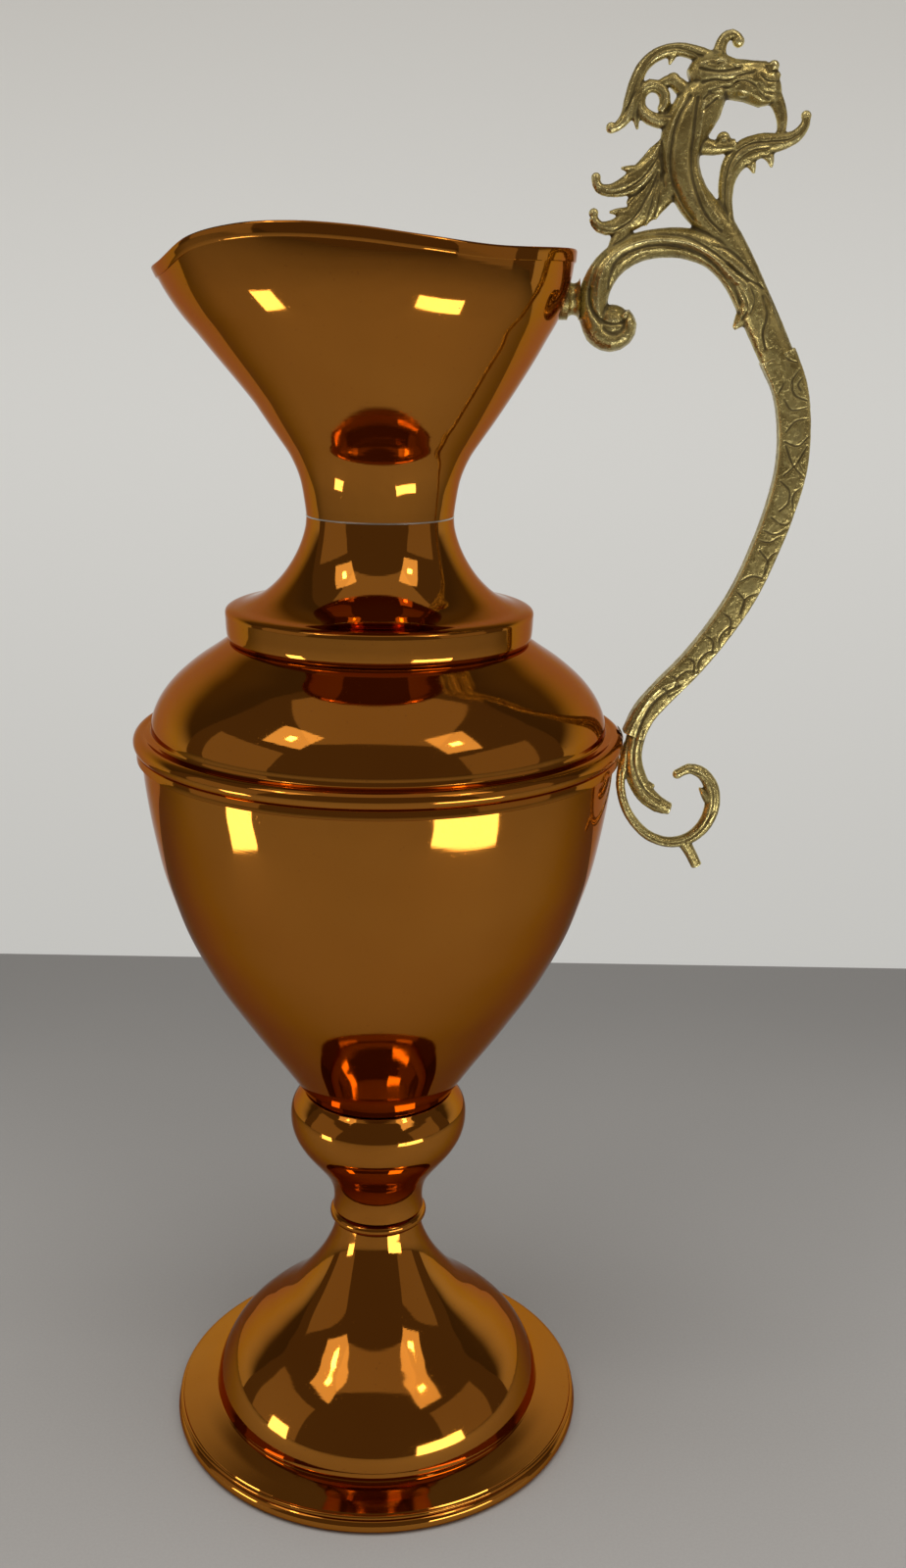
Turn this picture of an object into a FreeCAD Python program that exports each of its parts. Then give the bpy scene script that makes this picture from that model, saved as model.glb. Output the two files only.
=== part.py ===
"""Tall copper ewer on a bell foot, with a cast brass dragon handle.

Millimetres, +Z up.  The origin is the centre of the foot on the table.
The pouring lip points to -X and the handle stands at +X.
"""
import FreeCAD, Part
import math
import os

Vec = FreeCAD.Vector
os.makedirs("parts", exist_ok=True)

# ---- sheet metal -------------------------------------------------------------
wall = 0.9                 # copper sheet
gap = 0.10                 # running clearance in a soldered lap
solder_height = 0.6        # thickness of a solder line

# ---- foot --------------------------------------------------------------------
foot_radius = 87.8         # outside of the rolled foot edge
foot_roll = 3.1            # half height of the rolled edge
foot_wire_radius = 2.0     # wire inside the roll
foot_flat = 1.2            # half width of the worn flat the jug rests on
flange_height = 8.8        # crease outside the flange
flange_rise = 2.2          # flange lifts this much towards the bell
flange_width = 15.4        # from the crease in to the bell
step_height = 2.4          # small upright step under the bell
foot_height = 90.4         # top edge of the bell
foot_neck_radius = 17.9    # bell at its top edge

# ---- stem --------------------------------------------------------------------
ring_height = 6.6
ring_radius = 20.6
ring_bore = 14.0
knop_height = 55.5
knop_radius = 36.9
knop_neck_radius = 18.9
knop_widest = 0.78         # of the knop height

# ---- bowl and shoulder -------------------------------------------------------
bowl_height = 146.5        # knop edge up to the lower edge of the girdle
bowl_radius = 92.4         # bowl just under the girdle
bowl_sit_radius = 30.4     # bowl where the knop edge holds it
bowl_base_radius = 17.0    # flat of the bowl bottom, inside the knop
bowl_base_drop = 7.5
girdle_skirt = 3.6         # plain band that laps over the bowl
girdle_bead = 3.4          # radius of the half-round bead
lap_height = 3.2           # bowl edge standing up inside the skirt
shoulder_height = 34.6     # bead centre up to the collar seat, less the bead
shoulder_inset = 4.0       # dome edge inside the bowl radius

# ---- collar and neck ---------------------------------------------------------
collar_radius = 59.3
collar_height = 12.6
collar_lip_inset = 2.0     # collar radius less the lip and its sheet
collar_lip_height = 6.6
collar_curl = 2.6
neck_height = 34.6         # collar top up to the solder line
throat_radius = 28.0
throat_lap = 6.0

# ---- funnel ------------------------------------------------------------------
funnel_height = 95.6       # solder line up to the rim at the handle side
funnel_radius = 70.5       # rim, away from the lip
lip_reach = 15.5           # the pouring lip stands out this much more
lip_start = 0.42           # of the funnel height, where the lip begins
rim_crest = 4.6            # the rim rises this much beside the lip
rim_dip = 9.5              # and falls this much at its tip
binding_height = 4.6
binding_wall = 0.6

# ---- tie through the stem ----------------------------------------------------
tie_radius = 3.0
tie_plate_radius = 13.0
tie_plate_thickness = 2.0
spreader_thickness = 2.0
spreader_below_top = 10.0
nut_height = 5.0
nut_across = 11.0
washer_thickness = 1.2
washer_radius = 7.0
tie_tail = 4.0

# ---- handle ------------------------------------------------------------------
boss_radius = 7.4
boss_waist = 5.6
boss_length = 4.6
boss_below_rim = 16.4      # centre of the upper fixing under the handle-side rim
screw_radius = 2.0
screw_hole_clearance = 0.3
screw_head_radius = 3.9
screw_head_height = 2.2
seal_radius = 5.6
seal_thickness = 1.0
screw_bite = 7.0
strap_depth = 8.0          # thickness of the strap, front to back
crook_depth = 11.5
scroll_radius = 9.0
scroll_depth = 15.0
leaf_depth = 5.0
neck_depth = 12.0
handle_rest_gap = 0.25     # solder between the strap and the girdle

# The handle is drawn at this size between its two fixings and follows them.
drawn_low = (95.6, 305.7)
drawn_high = (67.6, 470.9)

# ---- levels ------------------------------------------------------------------
z_flange = flange_height + flange_rise
z_step = z_flange + step_height
z_ring = foot_height
z_knop = z_ring + ring_height
z_bowl = z_knop + knop_height
z_girdle = z_bowl + bowl_height
z_bead = z_girdle + girdle_skirt + girdle_bead * math.cos(math.radians(30))
z_seat = z_bead + girdle_bead + shoulder_height
z_collar = z_seat + collar_height
z_seam = z_collar + neck_height + solder_height
z_rim = z_seam + funnel_height
z_boss = z_rim - boss_below_rim
crease_radius = foot_radius - 2.2
bell_radius = crease_radius - flange_width
skirt_radius = bowl_radius + 2.0
shoulder_radius = bowl_radius - shoulder_inset
collar_lip_radius = collar_radius - collar_lip_inset - wall
bead_centre = skirt_radius - girdle_bead * 0.65


# ---- helpers -----------------------------------------------------------------
def rz(r, z):
    return Vec(r, 0, z)


def line(a, b):
    return Part.LineSegment(rz(*a), rz(*b)).toShape()


def arc(a, b, c):
    return Part.Arc(rz(*a), rz(*b), rz(*c)).toShape()


def curve(points):
    spline = Part.BSplineCurve()
    spline.interpolate([rz(*p) for p in points])
    return spline.toShape()


def sheet_offset(points, distance):
    """The same curve moved sideways by the sheet thickness."""
    moved = []
    last = len(points) - 1
    for i, (r, z) in enumerate(points):
        r0, z0 = points[max(i - 1, 0)]
        r1, z1 = points[min(i + 1, last)]
        run = math.hypot(r1 - r0, z1 - z0)
        moved.append((r - (z1 - z0) / run * distance, z + (r1 - r0) / run * distance))
    return moved


def spin(edges):
    face = Part.Face(Part.Wire(Part.__sortEdges__(edges)))
    return face.revolve(Vec(0, 0, 0), Vec(0, 0, 1), 360)


def tube(r0, r1, z0, z1):
    outer = Part.makeCylinder(r1, z1 - z0, rz(0, z0))
    return outer.cut(Part.makeCylinder(r0, z1 - z0, rz(0, z0)))


def between(low, high, fractions):
    """Curve points given as parts of the way from one corner to the other."""
    return [(low[0] + (high[0] - low[0]) * u, low[1] + (high[1] - low[1]) * v) for u, v in fractions]


def at_height(points, z):
    """Radius of a rising curve at one height."""
    for (r0, z0), (r1, z1) in zip(points, points[1:]):
        if min(z0, z1) <= z <= max(z0, z1):
            return r0 + (r1 - r0) * (z - z0) / (z1 - z0)
    return points[-1][0]


def save(shape, node):
    solid = shape.Solids[0] if len(shape.Solids) == 1 else shape
    solid.exportStep("parts/" + node + ".step")
    print(node, len(shape.Solids), round(shape.Volume, 1), shape.isValid())


# ---- foot --------------------------------------------------------------------
def bell_curve():
    share = [(0, 0), (0.02, 0.073), (0.075, 0.165), (0.165, 0.26), (0.295, 0.35), (0.46, 0.443),
             (0.61, 0.535), (0.725, 0.625), (0.825, 0.717), (0.905, 0.81), (0.965, 0.905), (1, 1)]
    return between((bell_radius + 0.3, z_step), (foot_neck_radius, foot_height), share)


def foot_bell():
    bell = bell_curve()
    inside = sheet_offset(bell, wall)
    inside[0] = (bell[0][0] - wall, inside[0][1])
    inside[-1] = (inside[-1][0], foot_height)
    roll_r = foot_radius - foot_roll
    flange_mid = (bell_radius + flange_width * 0.5, z_flange - flange_rise * 0.62)
    foot = (bell_radius, z_flange)
    under = (bell_radius - wall, z_flange - wall)
    crease = (crease_radius, flange_height)
    lower_crease = (crease_radius - 0.4, flange_height - wall)
    bead_end = (foot_radius - 1.1, foot_roll * 1.9)
    roll_top = (roll_r - foot_wire_radius - wall, foot_roll)
    hollow = foot_roll - wall
    edges = [
        curve(bell),
        line(bell[-1], inside[-1]),
        curve(inside),
        line(inside[0], under),
        arc(under, (flange_mid[0], flange_mid[1] - wall), lower_crease),
        line(lower_crease, (roll_r + hollow * 0.8, foot_roll + hollow * 0.6)),
        arc((roll_r + hollow * 0.8, foot_roll + hollow * 0.6), (roll_r + hollow, foot_roll),
            (roll_r, foot_roll - hollow)),
        arc((roll_r, foot_roll - hollow), (roll_r - hollow * 0.71, foot_roll - hollow * 0.71),
            (roll_r - hollow, foot_roll)),
        line((roll_r - hollow, foot_roll), roll_top),
        arc(roll_top, (roll_r - foot_roll * 0.8, foot_roll * 0.4), (roll_r - foot_flat, 0)),
        line((roll_r - foot_flat, 0), (roll_r + foot_flat, 0)),
        arc((roll_r + foot_flat, 0), (foot_radius, foot_roll), bead_end),
        arc(bead_end, (foot_radius - 0.9, flange_height - 1.3), crease),
        arc(crease, flange_mid, foot),
        line(foot, bell[0]),
    ]
    return spin(edges)


def foot_rim_wire():
    return Part.makeTorus(foot_radius - foot_roll, foot_wire_radius, rz(0, foot_roll), Vec(0, 0, 1))


# ---- stem --------------------------------------------------------------------
def stem_ring():
    half = ring_height / 2
    mid = z_ring + half
    edge = knop_neck_radius + gap
    edges = [
        line((ring_bore, z_ring), (edge, z_ring)),
        arc((edge, z_ring), (ring_radius, mid), (edge, z_knop)),
        line((edge, z_knop), (ring_bore, z_knop)),
        line((ring_bore, z_knop), (ring_bore, z_ring)),
    ]
    return spin(edges)


def knop_curve():
    share = [(0.02, 0), (0, 0.08), (0.04, 0.18), (0.16, 0.277), (0.36, 0.373), (0.60, 0.473),
             (0.81, 0.57), (0.95, 0.67), (1, knop_widest), (0.955, 0.88)]
    low = (knop_neck_radius, z_knop)
    points = between(low, (knop_radius, z_bowl), share)
    return points + [(bowl_curve_radius(z_bowl) + wall, z_bowl)]


def knop_shell():
    outside = knop_curve()
    inside = sheet_offset(outside, wall)
    inside[0] = (outside[0][0] - wall, z_knop)
    inside[-1] = (outside[-1][0] - wall, z_bowl)
    edges = [curve(outside), line(outside[-1], inside[-1]), curve(inside), line(inside[0], outside[0])]
    return spin(edges)


# ---- bowl --------------------------------------------------------------------
def bowl_curve():
    share = [(0, 0), (0.061, 0.038), (0.19, 0.119), (0.325, 0.201), (0.453, 0.283), (0.575, 0.365),
             (0.678, 0.447), (0.766, 0.529), (0.833, 0.611), (0.891, 0.693), (0.932, 0.775),
             (0.965, 0.857), (0.990, 0.94), (1, 1)]
    return between((bowl_sit_radius, z_bowl), (bowl_radius, z_girdle), share)


def bowl_curve_radius(z):
    return at_height(bowl_curve(), z)


def bowl_section(lip_radius):
    side = bowl_curve()
    base = (bowl_base_radius, z_bowl - bowl_base_drop)
    inner_base = (bowl_base_radius, z_bowl - bowl_base_drop + wall)
    corner = ((bowl_base_radius + bowl_sit_radius) * 0.5 + 0.6, z_bowl - bowl_base_drop * 0.66)
    lip_low = (lip_radius, z_girdle + 0.8)
    inside = sheet_offset(side, wall)
    inner_corner = (corner[0] - wall * 0.5, corner[1] + wall * 0.86)
    return side, base, inner_base, corner, lip_low, inside, inner_corner


def body_bowl():
    lip_radius = skirt_radius - wall - gap
    side, base, inner_base, corner, lip_low, inside, inner_corner = bowl_section(lip_radius)
    lip_top = (lip_radius, z_girdle + lap_height)
    inner_lip_top = (lip_radius - wall, z_girdle + lap_height)
    inner_lip_low = (lip_radius - wall, z_girdle + 1.2)
    edges = [
        line((0, base[1]), base),
        arc(base, corner, side[0]),
        curve(side),
        line(side[-1], lip_low),
        line(lip_low, lip_top),
        line(lip_top, inner_lip_top),
        line(inner_lip_top, inner_lip_low),
        line(inner_lip_low, inside[-1]),
        curve(inside),
        arc(inside[0], inner_corner, inner_base),
        line(inner_base, (0, inner_base[1])),
        line((0, inner_base[1]), (0, base[1])),
    ]
    return spin(edges)


# ---- shoulder with its girdle bead -------------------------------------------
def shoulder_curve():
    share = [(0, 0), (0.001, 0.09), (0.085, 0.29), (0.255, 0.50), (0.53, 0.72), (0.80, 0.885), (0.945, 0.972), (1, 1)]
    low = (shoulder_radius, z_bead + girdle_bead + 0.9)
    return between(low, (collar_lip_radius + 1.8, z_seat), share)


def on_bead(radius, degrees):
    turn = math.radians(degrees)
    return (bead_centre + radius * math.cos(turn), z_bead + radius * math.sin(turn))


def shoulder_dome():
    side = shoulder_curve()
    inside = sheet_offset(side, wall)
    inside[-1] = (inside[-1][0], z_seat - wall)
    inside[0] = (side[0][0] - wall, side[0][1])
    hollow = girdle_bead - wall
    lip_top = z_seat + collar_lip_height
    skirt_top = z_bead - girdle_bead * 0.95
    inner_skirt = skirt_radius - wall
    cove = ((side[0][0] + on_bead(girdle_bead, 110)[0]) * 0.5 - 0.25, on_bead(girdle_bead, 110)[1] + 0.25)
    inner_cove = (cove[0] - 0.55, cove[1] - 0.75)
    edges = [
        curve(side),
        line(side[-1], (collar_lip_radius, z_seat)),
        line((collar_lip_radius, z_seat), (collar_lip_radius, lip_top)),
        line((collar_lip_radius, lip_top), (collar_lip_radius - wall, lip_top)),
        line((collar_lip_radius - wall, lip_top), (collar_lip_radius - wall, z_seat - wall)),
        line((collar_lip_radius - wall, z_seat - wall), inside[-1]),
        curve(inside),
        arc(inside[0], inner_cove, on_bead(hollow, 118)),
        arc(on_bead(hollow, 118), on_bead(hollow, 20), on_bead(hollow, -52)),
        line(on_bead(hollow, -52), (inner_skirt, skirt_top - 0.6)),
        line((inner_skirt, skirt_top - 0.6), (inner_skirt, z_girdle)),
        line((inner_skirt, z_girdle), (skirt_radius, z_girdle)),
        line((skirt_radius, z_girdle), (skirt_radius, skirt_top)),
        line((skirt_radius, skirt_top), on_bead(girdle_bead, -58)),
        arc(on_bead(girdle_bead, -58), on_bead(girdle_bead, 15), on_bead(girdle_bead, 110)),
        arc(on_bead(girdle_bead, 110), cove, side[0]),
    ]
    return spin(edges)


def girdle_solder():
    outer = skirt_radius - wall - gap * 2
    top = z_girdle + lap_height
    return tube(outer - 2.2, outer, top, top + 1.0)


# ---- collar and neck ---------------------------------------------------------
def neck_curve():
    share = [(0, 0), (0.013, 0.12), (0.077, 0.31), (0.182, 0.50), (0.335, 0.69), (0.55, 0.865),
             (0.77, 0.955), (0.93, 0.985)]
    high = (throat_radius, z_collar + neck_height)
    points = between(high, (collar_radius, z_collar), share)
    return points


def neck_cone():
    cone = neck_curve()
    inside = sheet_offset(cone, -wall)
    inside[0] = (throat_radius - wall, cone[0][1])
    edge = (collar_radius, z_collar - 1.6)
    round_mid = (collar_radius - 0.45, z_collar - 0.55)
    band_low = (collar_radius - 0.3, z_seat + 5.0)
    curl_mid = (band_low[0] - 0.5, band_low[1] - 1.7)
    curl_end = (band_low[0] - collar_curl * 0.6, z_seat + solder_height)
    inner_edge = (edge[0] - wall, edge[1])
    inner_mid = (round_mid[0] - 0.66, round_mid[1] - 0.62)
    inner_low = (band_low[0] - wall, band_low[1])
    inner_curl = (curl_mid[0] - wall * 0.9, curl_mid[1] + 0.2)
    inner_end = (curl_end[0] - wall, curl_end[1])
    edges = [
        curve(cone),
        arc(cone[-1], round_mid, edge),
        line(edge, band_low),
        arc(band_low, curl_mid, curl_end),
        line(curl_end, inner_end),
        arc(inner_end, inner_curl, inner_low),
        line(inner_low, inner_edge),
        arc(inner_edge, inner_mid, inside[-1]),
        curve(inside),
        line(inside[0], cone[0]),
    ]
    return spin(edges)


def collar_solder():
    outer = collar_radius - 0.3 - collar_curl * 0.6 - wall * 0.4
    return tube(collar_lip_radius + gap, outer, z_seat, z_seat + solder_height)


def neck_solder():
    return tube(throat_radius - wall, throat_radius + 0.12, z_seam - solder_height, z_seam)


# ---- funnel ------------------------------------------------------------------
def funnel_radius_at(share):
    table = [(0, 0), (0.014, 0.05), (0.052, 0.14), (0.13, 0.224), (0.235, 0.295), (0.34, 0.362),
             (0.50, 0.47), (0.68, 0.60), (0.775, 0.675), (0.875, 0.755), (0.945, 0.84), (0.98, 0.92), (1, 1), (1.005, 1.09)]
    for (u0, v0), (u1, v1) in zip(table, table[1:]):
        if share <= v1:
            u = u0 + (u1 - u0) * (share - v0) / (v1 - v0)
            break
    return throat_radius + (funnel_radius - throat_radius) * u


def lip_at(share):
    rise = max(share - lip_start, 0) / (1 - lip_start)
    return lip_reach * rise ** 1.25


def funnel_ring(share, inset, level):
    """One closed level line of the funnel, drawn out towards the lip."""
    count = 32
    points = []
    for i in range(count):
        turn = 2 * math.pi * i / count + math.pi / 2
        towards_lip = (1 - math.cos(turn)) / 2
        r = funnel_radius_at(share) + lip_at(share) * towards_lip ** 5 - inset
        points.append(Vec(r * math.cos(turn), r * math.sin(turn), level))
    ring = Part.BSplineCurve()
    ring.interpolate(points, PeriodicFlag=True)
    return Part.Wire([ring.toShape()])


def funnel_form(inset, floor):
    shares = [0, 0.05, 0.14, 0.224, 0.295, 0.362, 0.47, 0.60, 0.675, 0.755, 0.84, 0.92, 1, 1.09]
    rings = []
    for share in shares:
        level = z_seam + funnel_height * share
        if share == 0:
            level = z_seam + floor
        rings.append(funnel_ring(share, inset, level))
    return Part.makeLoft(rings, True, False)


def rim_line():
    """Height of the rim along X, from beyond the lip to beyond the handle."""
    reach = funnel_radius + lip_reach
    return [(-reach - 8, z_rim - rim_dip - 3.5), (-reach, z_rim - rim_dip), (-reach * 0.88, z_rim - rim_dip * 0.75),
            (-reach * 0.72, z_rim + rim_crest * 0.05), (-reach * 0.52, z_rim + rim_crest * 0.83),
            (-reach * 0.30, z_rim + rim_crest), (-reach * 0.06, z_rim + rim_crest * 0.75),
            (funnel_radius * 0.24, z_rim + rim_crest * 0.22), (funnel_radius * 0.6, z_rim - rim_crest * 0.28),
            (funnel_radius, z_rim), (funnel_radius + 10, z_rim + 1.0)]


def above_rim(lift):
    """Everything above the rim line, moved up or down by lift."""
    points = [Vec(x, 0, z + lift) for x, z in rim_line()]
    spline = Part.BSplineCurve()
    spline.interpolate(points)
    top = z_rim + 60
    first = points[0]
    last = points[-1]
    edges = [
        spline.toShape(),
        Part.LineSegment(last, Vec(last.x, 0, top)).toShape(),
        Part.LineSegment(Vec(last.x, 0, top), Vec(first.x, 0, top)).toShape(),
        Part.LineSegment(Vec(first.x, 0, top), first).toShape(),
    ]
    depth = funnel_radius * 2 + 40
    face = Part.Face(Part.Wire(edges))
    return face.extrude(Vec(0, depth, 0)).translated(Vec(0, -depth / 2, 0))


def screw_axis_hole(radius):
    return Part.makeCylinder(radius, funnel_radius * 2, Vec(0, 0, z_boss), Vec(1, 0, 0))


def mouth_funnel(outside, inside):
    lap_outer = throat_radius - wall - gap
    lap_inner = lap_outer - wall
    floor_bore = Part.makeCylinder(lap_inner, 10, rz(0, z_seam - 5))
    shell = outside.cut(inside).cut(floor_bore).cut(above_rim(0))
    lap = tube(lap_inner, lap_outer, z_seam - throat_lap, z_seam + wall)
    return shell.fuse(lap).removeSplitter().cut(screw_axis_hole(screw_radius + screw_hole_clearance))


def rim_binding(funnel):
    """Folded strip that covers the cut edge, inside and out."""
    band = funnel_form(-binding_wall, 0).cut(funnel_form(wall + binding_wall, 0))
    band = band.common(above_rim(-binding_height)).cut(above_rim(binding_wall))
    return band.cut(funnel)


# ---- tie through the stem ----------------------------------------------------
def tie_plate():
    top = z_bowl - bowl_base_drop
    plate = Part.makeCylinder(tie_plate_radius, tie_plate_thickness, rz(0, top - tie_plate_thickness))
    return plate.cut(Part.makeCylinder(tie_radius, tie_plate_thickness, rz(0, top - tie_plate_thickness)))


def spreader_level():
    return foot_height - spreader_below_top


def tie_stud():
    top = z_bowl - bowl_base_drop
    bottom = spreader_level() - spreader_thickness - washer_thickness - nut_height - tie_tail
    return Part.makeCylinder(tie_radius, top - bottom, rz(0, bottom))


def foot_spreader(bell):
    """Disc turned to the inside of the bell."""
    top = spreader_level()
    radius = at_height(bell_curve(), top) - wall * 0.5
    return tube(tie_radius + gap, radius, top - spreader_thickness, top).cut(bell)


def tie_washer():
    top = spreader_level() - spreader_thickness
    return tube(tie_radius + gap, washer_radius, top - washer_thickness, top)


def tie_nut():
    top = spreader_level() - spreader_thickness - washer_thickness
    corner = nut_across / math.sqrt(3)
    points = [Vec(corner * math.cos(math.pi * i / 3), corner * math.sin(math.pi * i / 3), top - nut_height)
              for i in range(7)]
    body = Part.Face(Part.makePolygon(points)).extrude(Vec(0, 0, nut_height))
    return body.cut(Part.makeCylinder(tie_radius, nut_height, rz(0, top - nut_height)))


# ---- handle ------------------------------------------------------------------
def funnel_wall_x():
    return funnel_radius_at((z_boss - z_seam) / funnel_height)


def place(x, z):
    """A point of the handle drawing, carried to where the two fixings really are."""
    low = (bead_centre + girdle_bead, z_bead)
    high = (funnel_wall_x(), z_boss)
    share = (z - drawn_low[1]) / (drawn_high[1] - drawn_low[1])
    blend = min(max(share, 0), 1)
    shift = (low[0] - drawn_low[0]) * (1 - blend) + (high[0] - drawn_high[0]) * blend
    return Vec(x + shift, 0, low[1] + share * (high[1] - low[1]))


def tangents(points):
    result = []
    last = len(points) - 1
    for i in range(len(points)):
        step = points[min(i + 1, last)] - points[max(i - 1, 0)]
        result.append(step.normalize())
    return result


def oval(centre, along, width, depth):
    """Oval section standing across the stroke."""
    side = Vec(0, 1, 0)
    major, minor = (side, depth) if depth >= width else (side.cross(along), width)
    large = max(width, depth) / 2
    small = min(width, depth) / 2
    ellipse = Part.Ellipse(FreeCAD.Vector(0, 0, 0), large, small)
    shape = ellipse.toShape()
    frame = FreeCAD.Placement(centre, FreeCAD.Rotation(major, along.cross(major), along, "XYZ"))
    shape.Placement = frame
    return Part.Wire([shape])


def bar(centre, along, width, depth):
    """Oblong section with its four corners taken off."""
    across = Vec(0, 1, 0).cross(along)
    cut = min(width, depth) * 0.16
    w = width / 2
    d = depth / 2
    corners = [(w - cut, d), (w, d - cut), (w, cut - d), (w - cut, -d), (cut - w, -d), (-w, cut - d), (-w, d - cut),
               (cut - w, d)]
    points = [centre + across * a + Vec(0, b, 0) for a, b in corners]
    return Part.makePolygon(points + [points[0]])


def stroke(stations, section=oval):
    """Tapering bar along a drawn line: each station is (x, z, width, depth)."""
    points = [place(x, z) for x, z, width, depth in stations]
    wires = []
    for point, along, station in zip(points, tangents(points), stations):
        wires.append(section(point, along, station[2], station[3]))
    return Part.makeLoft(wires, True, False)


def knob(x, z, radius):
    return Part.makeSphere(radius, place(x, z))


def strap():
    d = strap_depth
    return stroke([(146.0, 452.0, 14.5, d + 2), (151.6, 440, 13.2, d), (154.2, 426, 12.4, d), (154.3, 411, 11.8, d),
                   (151.3, 396, 11.2, d), (146.3, 380, 10.8, d), (139.6, 363.5, 10.4, d), (131, 349, 10.0, d),
                   (120.8, 335.3, 9.8, d), (110.6, 324, 9.8, d), (103.6, 315.5, 9.8, d), (99.8, 306.5, 10.4, d - 1)],
                  bar)


def strap_leaf():
    return stroke([(103.0, 312.0, 7.8, 6.4), (100.6, 304, 7.4, 6.4), (100.4, 296, 7.0, 6.2), (102.6, 288, 8.0, 6.0),
                   (107, 281, 7.6, 5.6), (112.3, 277.4, 6.6, 5.2), (116.8, 276.4, 4.6, 4.6)])


def crook():
    d = crook_depth
    return stroke([(149.2, 445, 13.0, d - 2.5), (142.6, 458, 13.4, d - 1.5), (136.4, 469.6, 13.6, d - 0.5),
                   (129.6, 480.4, 13.2, d), (120.5, 487.6, 12.0, d), (110, 490.4, 11.0, d), (99.5, 490.2, 10.4, d),
                   (90.0, 487.6, 10.6, d), (82.2, 481.6, 11.0, d), (77.9, 473, 11.2, d), (77.6, 463.5, 11.0, d)])


def scroll():
    roll = Part.makeCylinder(scroll_radius, scroll_depth, place(84.6, 461.2) - Vec(0, scroll_depth / 2, 0), Vec(0, 1, 0))
    roll = roll.makeFillet(scroll_radius * 0.3, roll.Edges)
    eye = Part.makeCylinder(scroll_radius * 0.42, scroll_depth + 2.4,
                            place(88.2, 463.6) - Vec(0, scroll_depth / 2 + 1.2, 0), Vec(0, 1, 0))
    return roll.fuse(eye.makeFillet(scroll_radius * 0.14, eye.Edges))


def dragon_neck():
    d = neck_depth
    return stroke([(131.0, 485.5, 11.0, d - 2), (124.4, 493.2, 12.0, d - 1.5), (117.6, 499.4, 12.4, d - 1),
                   (111.2, 506.4, 12.4, d), (107.4, 514, 13.0, d), (106.4, 521.5, 15.0, d), (108.2, 529, 17.0, d),
                   (112.6, 537, 17.0, d), (116.6, 544, 13.0, d)])


def dragon_head():
    d = neck_depth
    skull = stroke([(108.2, 545.6, 5.0, d - 5), (111.6, 546.8, 12.4, d - 1), (117.0, 546.4, 16.2, d + 1),
                    (123.4, 545.3, 14.2, d + 1), (129.0, 544.8, 14.6, d - 1), (134.0, 543.9, 16.0, d - 2),
                    (138.2, 543.6, 13.6, d - 3), (140.6, 544.2, 6.0, d - 7)])
    fang = stroke([(138.0, 541.5, 6.4, 5.0), (140.4, 537, 5.0, 4.4), (141.9, 532.6, 4.0, 3.8), (141.9, 528.6, 3.2, 3.2),
                   (140.8, 525.2, 2.8, 3.0)])
    brow = Part.makeSphere(2.6, place(117.5, 548.4) - Vec(0, neck_depth * 0.42, 0))
    far_brow = brow.mirror(Vec(0, 0, 0), Vec(0, 1, 0))
    return skull.fuse([fang, brow, far_brow])


def dragon_horn():
    horn = stroke([(118.2, 551.0, 6.4, 5.0), (118.5, 555.4, 4.4, 4.2), (119.9, 558.8, 3.8, 3.8),
                   (122.6, 560.3, 3.6, 3.6), (125.0, 559.2, 3.4, 3.4)])
    return horn.fuse(knob(124.9, 558.0, 2.3))


def dragon_crest():
    d = leaf_depth
    crest = stroke([(116.0, 551.0, 7.0, d + 2), (109.5, 553.6, 5.6, d), (103.0, 554.6, 4.8, d), (96.8, 552.8, 4.8, d),
                    (91.9, 548.8, 4.6, d), (89.2, 543.2, 5.2, d), (88.1, 537.4, 5.6, d), (86.6, 532.4, 4.6, d - 1),
                    (83.6, 529.2, 3.4, d - 1.6), (81.6, 528.6, 3.2, d - 1.8)])
    spur = stroke([(90.2, 537.0, 4.2, 4.0), (90.2, 532.4, 3.0, 3.2), (90.9, 528.2, 1.2, 2.0)])
    thorn = stroke([(102.4, 554.0, 4.0, 3.6), (101.6, 551.6, 2.6, 3.0), (101.0, 549.4, 1.0, 2.0)])
    return crest.fuse([spur, thorn, knob(81.6, 528.8, 2.1)])


def dragon_curl():
    centre = place(95.4, 537.4)
    ring = Part.makeTorus(5.3, 2.0, centre, Vec(0, 1, 0))
    root = stroke([(97.0, 531.6, 4.2, 4.4), (100.4, 531.0, 4.8, 5.0), (105.0, 532.4, 6.0, 6.0)])
    link = stroke([(96.0, 543.2, 3.6, 4.0), (100.0, 544.8, 4.4, 4.4), (103.6, 543.6, 5.2, 5.2), (108.0, 540.4, 6.0, 6.4)])
    return ring.fuse([root, link, knob(102.6, 544.6, 2.8)])


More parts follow.
